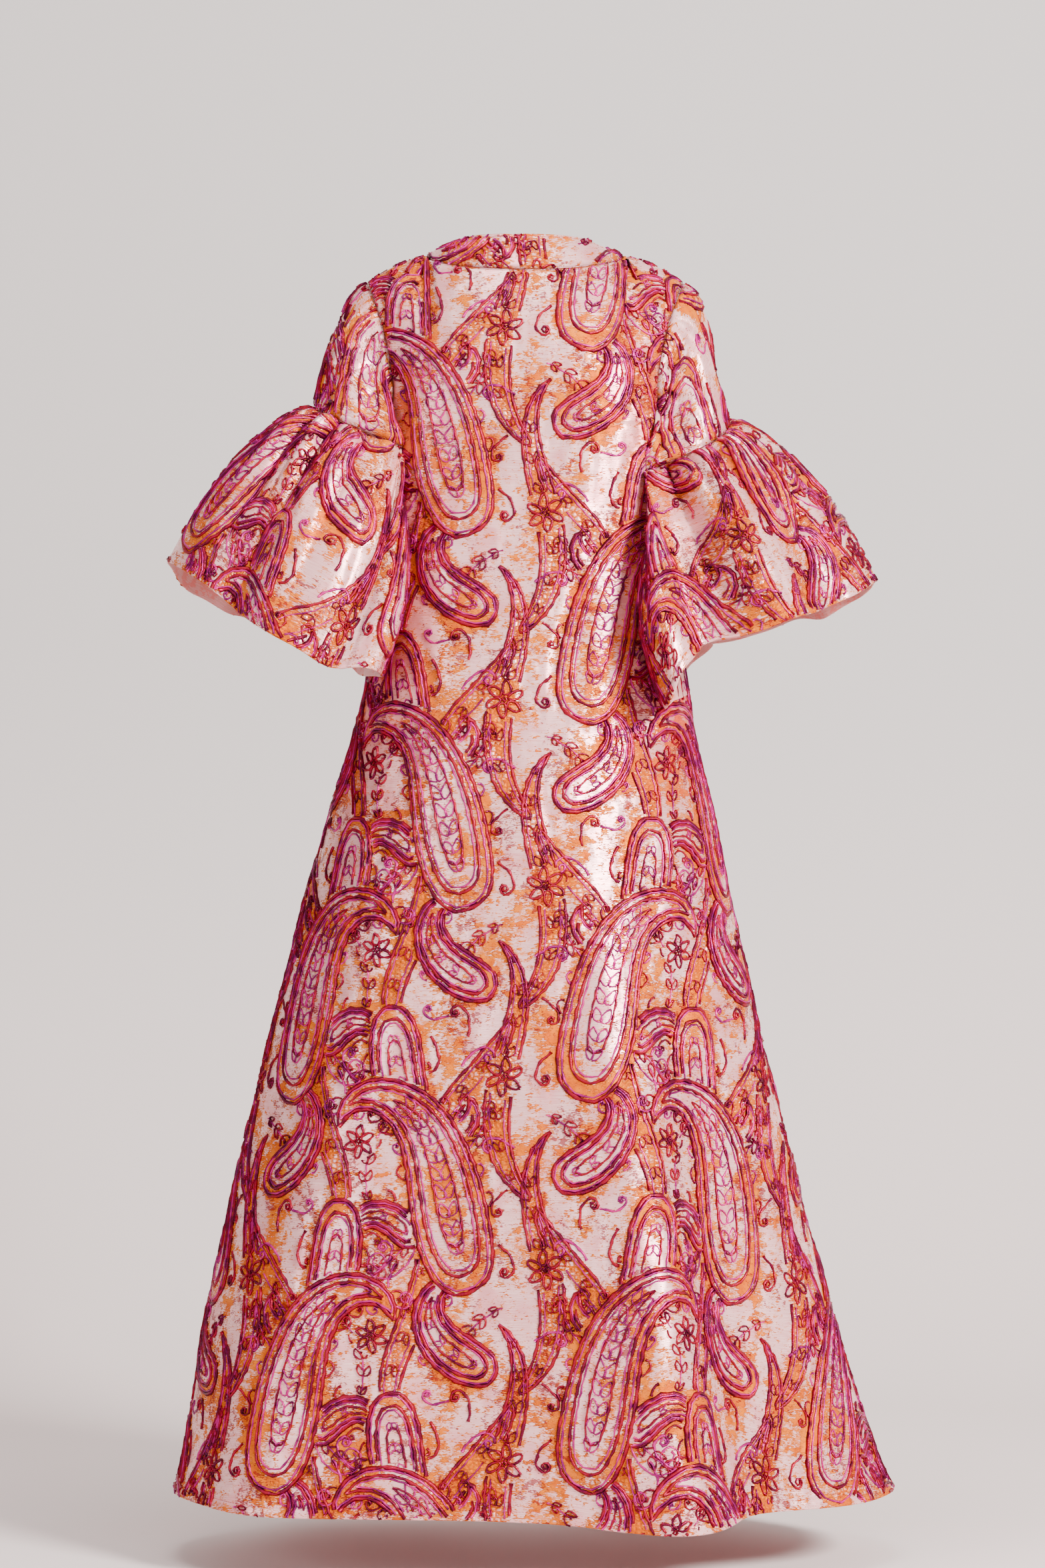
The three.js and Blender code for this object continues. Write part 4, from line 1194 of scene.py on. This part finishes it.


# The finish of a cloth piece: relief and values from the repeat, pinched seams with a painted
# wine shade along them, turned hems with their stitches, cords over its face, and its cut. A seam
# or a hem is named by its axis, 0 for the first or last row and 1 for a column, and by its end,
# and a hem by its depth too.
def finishCloth(node, surface, hems, seams):
    points, flat = surface["points"], surface["flat"]
    for key in ("orange", "mesh", "spray", "wine"):
        surface["values"][key] = readField(key, flat)
    # No painted glow of bounced light where a piece gives none
    surface["values"].setdefault("warm", np.zeros(points.shape[:2]))
    raised = readField("raised", flat) * relief["height"]
    edge, calm = np.zeros(points.shape[:2]), np.ones(points.shape[:2])
    thick = np.full(points.shape[:2], float(cloth["outer"]))
    stitched = []
    for axis, end in seams:
        away = edgeDistance(points, axis, end)
        pinch = np.exp(-(away / seamPinch["reach"]) ** 2)
        # The pinch is also where the seam's painted wine shade lies
        edge = np.maximum(edge, pinch)
        calm *= ease(away / seamPinch["calm"])
        thick -= pinch * seamPinch["depth"]
    for axis, end, deep in hems:
        away = edgeDistance(points, axis, end)
        calm *= mix(hemTurn["calm"], 1, ease((away - deep) / hemTurn["calmOver"]))
        thick += hemTurn["thick"] * ease((deep - away) / hemTurn["round"])
        thick -= hemTurn["groove"] * bell(away - deep, hemTurn["grooveWide"])
        thick -= hemTurn["rounded"] * np.exp(-(away / hemTurn["round"]) ** 2)
        rows = np.moveaxis(away, axis, 0)
        if end:
            rows = rows[::-1]
        lanes = np.arange(rows.shape[1])
        at = np.array([np.interp(deep, rows[:, lane], np.arange(len(rows))) for lane in lanes])
        at = len(rows) - 1 - at if end else at
        stitched.append((lanes.astype(float), at) if axis == 0 else (at, lanes.astype(float)))
    surface["out"] = np.clip(thick + raised * calm, relief["thinnest"], relief["thickest"])
    surface["values"]["edge"] = edge
    piece = clothShell(node.replace("_", "") + "Cloth", surface, clothMaterials)
    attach(piece, "root")
    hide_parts(node)
    extras = []

    def addYarn(ending, yarn, runs, height):
        points, faces = layCords(surface, runs, height)
        extra = makePiece(piece.name + ending, points, faces, [yarn])
        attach(extra, "root")
        extras.append(extra)

    runs = clothRuns(surface)
    for kind, (ending, yarn, height) in enumerate(cordKinds):
        addYarn(ending, yarn, [run for run in runs if run[2] == kind], height)
    if stitched:
        addYarn("Stitches", sewingThread, stitchRuns(surface, stitched), stitch["height"])
    counts = [len(extra.data.polygons) for extra in extras]
    print(node, "made:", len(piece.data.polygons), "faces, cords and stitches of", counts)


bodyGrid = {
    "columns": 86, "yoke": 40, "skirt": 127, "top": [0.04, 0.12, 0.3], "rowDeep": 90.5,
    "side": [0.006, 0.02], "open": [0.98, 0.994],
}
buckles = {  # height, what it is divided by across and down, seed
    "all": (1.8, 46, 170, 3), "waist": (1.8, 26, 60, 5),
    "skirt": (4.2, 34, 600, 8), "small": (0.8, 13, 34, 9),
}
buckled = {"top": 60, "topOver": 200, "waist": 480, "waistWide": 260, "skirt": 520, "skirtOver": 520}
flare = {"from": 150, "over": 900, "bow": 0.00024}
# Where the painted coral glow of bounced light lies in the shade under the arms: its share, the angle from
# the side, and the drops where it starts and ends, each with the span it grows over
bounceGlowSide = {"share": 0.8, "angle": 62, "angleOver": 45, "top": 60, "topOver": 160, "end": 760, "endOver": 260}


# Rows of the body: close in the yoke, even down the skirt, closer at the hem's turn
def bodyPlaces(further):
    rows = np.unique(np.concatenate([
        np.linspace(0, yokeRows, bodyGrid["yoke"]), yokeRows + np.linspace(0, skirtRows, bodyGrid["skirt"]),
        bodyGrid["top"], yokeRows + skirtRows - np.array(hemTurn["rows"]) / bodyGrid["rowDeep"],
    ]))
    shares = np.linspace(0, 1, bodyGrid["columns"] + 1)
    shares = np.unique(np.concatenate([shares, bodyGrid["side"], further]))
    return shares, rows, int(np.argmin(np.abs(rows - yokeRows)))


# Soft buckles of worn cloth, from a millimetre high to about four down the skirt
def bodyBuckles(points):
    x, z = points[..., 0], points[..., 2]
    calm = ease((-z - buckled["top"]) / buckled["topOver"])
    waist = bell(z + buckled["waist"], buckled["waistWide"])
    skirt = ease((-z - buckled["skirt"]) / buckled["skirtOver"])
    total = 0
    places = {"waist": (x + 0.35 * z, z - 0.2 * x)}
    shares = {"waist": waist, "skirt": skirt}
    for key, (high, byAcross, byDown, seed) in buckles.items():
        across, down = places.get(key, (x, z))
        total = total + high * shares.get(key, 1) * ripple(across / byAcross, down / byDown, seed)
    return calm * total


# The back: both halves from its side to the middle, as one grid
def backCloth():
    half, rows, armpitRow = bodyPlaces([])
    shares = np.concatenate([half, half[::-1][1:]])
    side = np.concatenate([np.ones(len(half)), -np.ones(len(half) - 1)])
    points = bodyPoint(shares[None, :], rows[:, None], True, side[None, :])
    points[..., 1] += cloth["seamGap"] / 2
    surface = bodySurface(points, len(half) - 1, armpitRow)
    hems, seams = [(0, 1, hemTurn["deep"])], [(0, 0), (1, 0), (1, 1)]
    finishCloth("back", surface, hems, seams)


# A body panel's surface: buckled, with the pattern bowed where the cut flares, and with a painted
# coral glow of bounced light in the shade towards the sides under the arms
def bodySurface(points, middle, zero, shift=(0, 0)):
    hub = np.zeros_like(points)
    hub[..., 2] = points[..., 2]
    surface = makeSurface(points, hub, None)
    surface["points"] = points + surface["normals"] * bodyBuckles(points)[..., None]
    flat = flatPlaces(points, middle, zero)
    flared = np.clip((flat[..., 1] - flare["from"]) / flare["over"], 0, 1)
    flat[..., 1] -= flare["bow"] * flared * flat[..., 0] ** 2
    surface["flat"] = flat + np.array(shift, float)
    angle = np.degrees(np.arctan2(np.abs(points[..., 1]), np.abs(points[..., 0])))
    drop = -points[..., 2]
    # Painted glow of bounced light: coral towards the sides under the arms, where the cloth is in shade
    warm = bounceGlowSide["share"] * ease((bounceGlowSide["angle"] - angle) / bounceGlowSide["angleOver"])
    warm = warm * ease((drop - bounceGlowSide["top"]) / bounceGlowSide["topOver"])
    surface["values"]["warm"] = warm * ease((bounceGlowSide["end"] - drop) / bounceGlowSide["endOver"])
    return surface


frontShift = (58, 170)  # of the pattern, so that the side seams don't mirror it


def frontCloth(node, side):
    shares, rows, armpitRow = bodyPlaces(bodyGrid["open"])
    points = bodyPoint(shares[None, :], rows[:, None], False, side)
    points[..., 1] -= cloth["seamGap"] / 2
    surface = bodySurface(points, len(shares) - 1, armpitRow, frontShift)
    hems, seams = [(0, 1, hemTurn["deep"]), (1, 1, hemTurn["openDeep"])], [(0, 0), (1, 0)]
    finishCloth(node, surface, hems, seams)


band = {
    "columns": 181, "across": [0, 0.02, 0.06, 0.14, 0.28, 0.42, 0.56, 0.7, 0.82, 0.92, 0.98, 1],
    "pad": 0.5, "hubBelow": 60, "shift": (40.0, 118.0), "hem": 3.5,
}


# The neck band: straight from the neckline's seam to its free edge, padded between
def bandCloth():
    around = np.linspace(-1, 1, band["columns"])
    across = np.array(band["across"])
    behind = np.abs(around) < 0.5
    toMiddle = np.abs(1 - np.abs(around) * 2)
    share = mix(shoulder["share"], 1, toMiddle)
    seam = np.where(behind[:, None], topEdge(share, True), topEdge(share, False))
    turn = toMiddle * np.pi / 2
    deep = np.where(behind, neckEdge["backY"], neckEdge["frontY"])
    low = np.where(behind, neckEdge["backZ"], neckEdge["frontZ"])
    x = mix(np.where(behind, 0, opening["neck"]), neckEdge["sideX"], np.cos(turn))
    edge = np.stack([x, deep * np.sin(turn), mix(neckEdge["sideZ"], low, np.sin(turn))], -1)
    way = edge - seam
    wide = lengthOf(way)
    seam = seam + way / wide * cloth["seamGap"] / 2
    points = mix(seam[None], edge[None], across[:, None, None])
    points[..., 0] *= np.where(around < 0, -1, 1)
    hub = np.zeros_like(points)
    hub[..., 2] = points[..., 2] - band["hubBelow"]
    surface = makeSurface(points, hub, None)
    pad = band["pad"] * np.sin(np.pi * across)
    surface["points"] = points + surface["normals"] * pad[:, None, None]
    surface["flat"] = flatPlaces(points, band["columns"] // 2, 0) + np.array(band["shift"])
    hems, seams = [(0, 1, band["hem"])], [(0, 0)]
    finishCloth("neck_band", surface, hems, seams)


# The axes of an arm: along it, behind it, out from it away from the body
def armAxes(arm):
    tilt, back = np.radians(arm["tilt"]), np.radians(arm["back"])
    along = unit(np.array([np.sin(tilt), np.sin(back), -np.cos(tilt)]))
    behind = unit(np.array([0, 1, 0]) - along * along[1])
    return along, behind, unit(np.cross(along, behind))


# The gather seam: a squared oval round the arm, lower behind, kept clear of the body
def gatherLine(arm, angle):
    _, behind, outward = armAxes(arm)
    c, s = np.cos(np.radians(angle)), np.sin(np.radians(angle))
    power = 2 / gatherRing["square"]
    c, s = np.sign(c) * np.abs(c) ** power, np.sign(s) * np.abs(s) ** power
    radial = outward * (gatherRing["across"] * c)[:, None] + behind * (gatherRing["deep"] * s)[:, None]
    middle = np.array([arm["x"], arm["y"], arm["z"]]) - np.array([0, 0, 1]) * (arm["low"] * s)[:, None]
    return clearOfBody(middle + radial, clearance["sleeve"]), unit(radial)


# The arms are drawn at the left, and the right one's points are mirrored at the end
def mirrored(points, arm):
    if arm["side"] < 0:
        points = points.copy()
        points[..., 0] = -points[..., 0]
    return points


sleeve = {
    "places": 209, "rows": 37, "further": [0.008, 0.03, 0.97, 0.992], "halfWide": 285, "shift": (93, 60),
    "lift": (9, 90), "raise": 1.5, "pull": 1.1,
    "soft": (4.6, 11, 1.9, 11), "crease": (5.0, 7, 3.1, 31), "slant": 70,
    "pucker": {"high": 2.0, "by": 0.7, "swing": 2, "swingBy": 0.21, "fade": 5, "start": 14},
}


# The upper sleeve: a cubic from the armhole, where it leaves along the shoulder at the top and
# straight out at the armpit, to the gather seam, where it runs down the arm; with soft folds
def sleeveCloth(node, arm):
    places = np.linspace(yokeRows, 3 * yokeRows, sleeve["places"]) % (2 * yokeRows)
    half = sleeve["places"] // 2
    behind = places <= yokeRows
    row = np.where(behind, places, 2 * yokeRows - places)
    point = np.where(behind[:, None], yoke(0 * row, row, True), yoke(0 * row, row, False))
    normal = np.where(behind[:, None], bodyNormal(0 * row, row, True), bodyNormal(0 * row, row, False))
    loop = np.concatenate([point[-2:-1], point, point[1:2]])
    way = unit(loop[2:] - loop[:-2])
    out = unit(np.cross(way, normal))
    run = runOf(point)
    later = 1 + (run - run[half]) / (run[-1] - run[half])
    turn = 180 + 180 * np.where(run < run[half], run / run[half], later)
    lift = np.radians(mix(*sleeve["lift"], ((1 - np.cos(np.radians(turn))) / 2) ** 2))[:, None]
    start = point + out * (cloth["seamGap"] / 2 + np.sin(lift) * sleeve["raise"])
    leave = out * np.cos(lift) + normal * np.sin(lift)
    end = gatherLine(arm, turn)[0]
    reach = lengthOf(end - start)
    along = armAxes(arm)[0]
    t = np.unique(np.concatenate([np.linspace(0, 1, sleeve["rows"]), sleeve["further"]]))[:, None, None]
    points = start * (2 * t ** 3 - 3 * t ** 2 + 1) + leave * (t ** 3 - 2 * t ** 2 + t) * reach * arm["cap"]
    points = points + end * (3 * t ** 2 - 2 * t ** 3) + along * (t ** 3 - t ** 2) * reach * sleeve["pull"]
    level = t[..., 0]
    hump = np.sin(np.pi * level)
    slant = turn[None, :] + sleeve["slant"] * level
    fold = sum(high * bell(turned(turn - at), spread) for at, spread, high in sleeveFolds)[None] * hump
    high, byTurn, byLevel, seed = sleeve["soft"]
    soft = ripple(slant / byTurn, level * byLevel, seed + arm["side"])
    fold = fold + high * soft * np.maximum(hump, 0) ** 0.7
    high, byTurn, byLevel, seed = sleeve["crease"]
    crease = 1 - np.abs(ripple(slant / byTurn, level * byLevel, seed + arm["side"]))
    fold = fold - high * np.clip(crease, 0, 1) ** 4 * hump
    pucker = sleeve["pucker"]
    swing = pucker["swing"] * np.sin(turn[None, :] * pucker["swingBy"])
    seamward = np.exp(-((1 - level) * pucker["fade"])) * ease((1 - level) * pucker["start"])
    fold = fold + pucker["high"] * np.sin(turn[None, :] * pucker["by"] + swing) * seamward
    points = points + normal * fold[..., None]
    points = mirrored(clearOfBody(points, clearance["sleeve"], ease((level - 0.1) * 2.5)), arm)
    surface = makeSurface(points, points.mean(1, keepdims=True), None, True)
    down = flatPlaces(points, half, 0)[..., 1].mean(1)
    middle, aside = sleeve["shift"]
    across = np.linspace(-sleeve["halfWide"], sleeve["halfWide"], points.shape[1])
    across = across + middle + aside * arm["side"]
    surface["flat"] = np.stack(np.broadcast_arrays(across[None, :], down[:, None]), -1)
    finishCloth(node, surface, [], [(0, 0), (0, 1)])


# The last two settings give the painted coral glow of bounced light in the hollows: its share, and the depth
# of a full hollow
flounce = {
    "places": 241, "rows": 67, "closer": 1.12, "further": [0.004, 0.012], "long": 290, "wide": 1080,
    "inward": 0.78, "crease": {"wide": 1.5, "deep": 1.75, "far": 1.35, "start": 0.06},
    "seed": 21, "fine": (4.4, 4.2, 1.5, 4.5, 26), "broad": (6.5, 9, 1.2, 0.9, 8),
    "crimp": {"high": 14, "count": 11, "swing": 1.2, "swings": 4, "mean": 0.75, "fade": 2.7, "start": 18},
    "across": (93, -75), "down": (40, 70), "warm": 0.45, "warmDeep": 14,
}


# The flounce: out from the gather seam between its creases, down in waves, with crimps and fine
# puckers that fade away from the seam
def flounceCloth(node, arm, creases, waves):
    angle = np.linspace(180, 540, flounce["places"])[None, :]
    share = np.unique(np.concatenate([
        np.linspace(0, 1, flounce["rows"]) ** flounce["closer"], flounce["further"],
        1 - np.array(hemTurn["rows"]) / flounce["long"],
    ]))[:, None]
    seam, radial = gatherLine(arm, angle[0])
    inward = mix(1, flounce["inward"], np.abs(np.sin(np.radians(angle))))
    out = reading(flounceProfile, "along", "out", share) * inward
    down = reading(flounceProfile, "along", "down", share) + 0 * angle
    crease = flounce["crease"]
    for at, half, deep, far in creases:
        near = np.clip(1 - np.abs(turned(angle - at)) / (crease["wide"] * half), 0, 1) ** 1.5
        fade = np.sqrt(np.clip(1 - share / min(1, crease["far"] * far), 0, 1))
        out = out - crease["deep"] * deep * near * fade * ease(share / crease["start"] + 0.2)
    for at, spread, stand, longer in waves:
        here = bell(turned(angle - at), spread)
        out = out + stand * here * ease(share * 1.35)
        down = down + longer * here * ease(share)
    seed = flounce["seed"] + arm["side"]
    for i, key in enumerate(("fine", "broad")):
        high, byAngle, byShare, fade, start = flounce[key]
        pucker = ripple(angle / byAngle, share * byShare, seed + i)
        out = out + high * pucker * np.exp(-share * fade) * ease(share * start)
    crimp = flounce["crimp"]
    swing = crimp["swing"] * np.sin(np.radians(angle) * crimp["swings"] + seed)
    wave = np.abs(np.sin(np.radians(angle) * crimp["count"] + swing)) ** 0.7 - crimp["mean"]
    out = out + crimp["high"] * wave * np.exp(-share * crimp["fade"]) * ease(share * crimp["start"])
    down = down + cloth["seamGap"] / 2 + 1.0
    points = seam + radial * out[..., None] + armAxes(arm)[0] * down[..., None]
    clear = mix(clearance["sleeve"], clearance["flounce"], ease(share * 2))
    points = mirrored(clearOfBody(points, clear), arm)
    surface = makeSurface(points, points.mean(1, keepdims=True), None, True)
    path = flatPlaces(points, flounce["places"] // 2, 0)[..., 1].mean(1)
    (acrossBy, acrossSide), (downBy, downSide) = flounce["across"], flounce["down"]
    across = (angle - 360) / 360 * flounce["wide"] + acrossBy + acrossSide * arm["side"]
    path = path[:, None] + downBy + downSide * arm["side"]
    surface["flat"] = np.stack(np.broadcast_arrays(across, path), -1)
    # Painted glow of bounced light: coral in the flounce's hollows, fading down from the seam
    hollow = np.clip(-(out - np.mean(out, 1, keepdims=True)) / flounce["warmDeep"], 0, 1)
    surface["values"]["warm"] = flounce["warm"] * hollow * (1 - share)
    finishCloth(node, surface, [(0, 1, hemTurn["deep"])], [(0, 0)])


backCloth()
frontCloth("front_left", 1)
frontCloth("front_right", -1)
bandCloth()
for side, arm in arms.items():
    sleeveCloth("sleeve_" + side, arm)
    flounceCloth("flounce_" + side, arm, gathers[side], flounceWaves[side])

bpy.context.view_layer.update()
added = [piece for piece in bpy.data.objects if piece.type == "MESH" and piece.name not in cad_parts]
meshes = [piece.data for piece in added]
print("triangles", sum(len(mesh.loops) - 2 * len(mesh.polygons) for mesh in meshes))
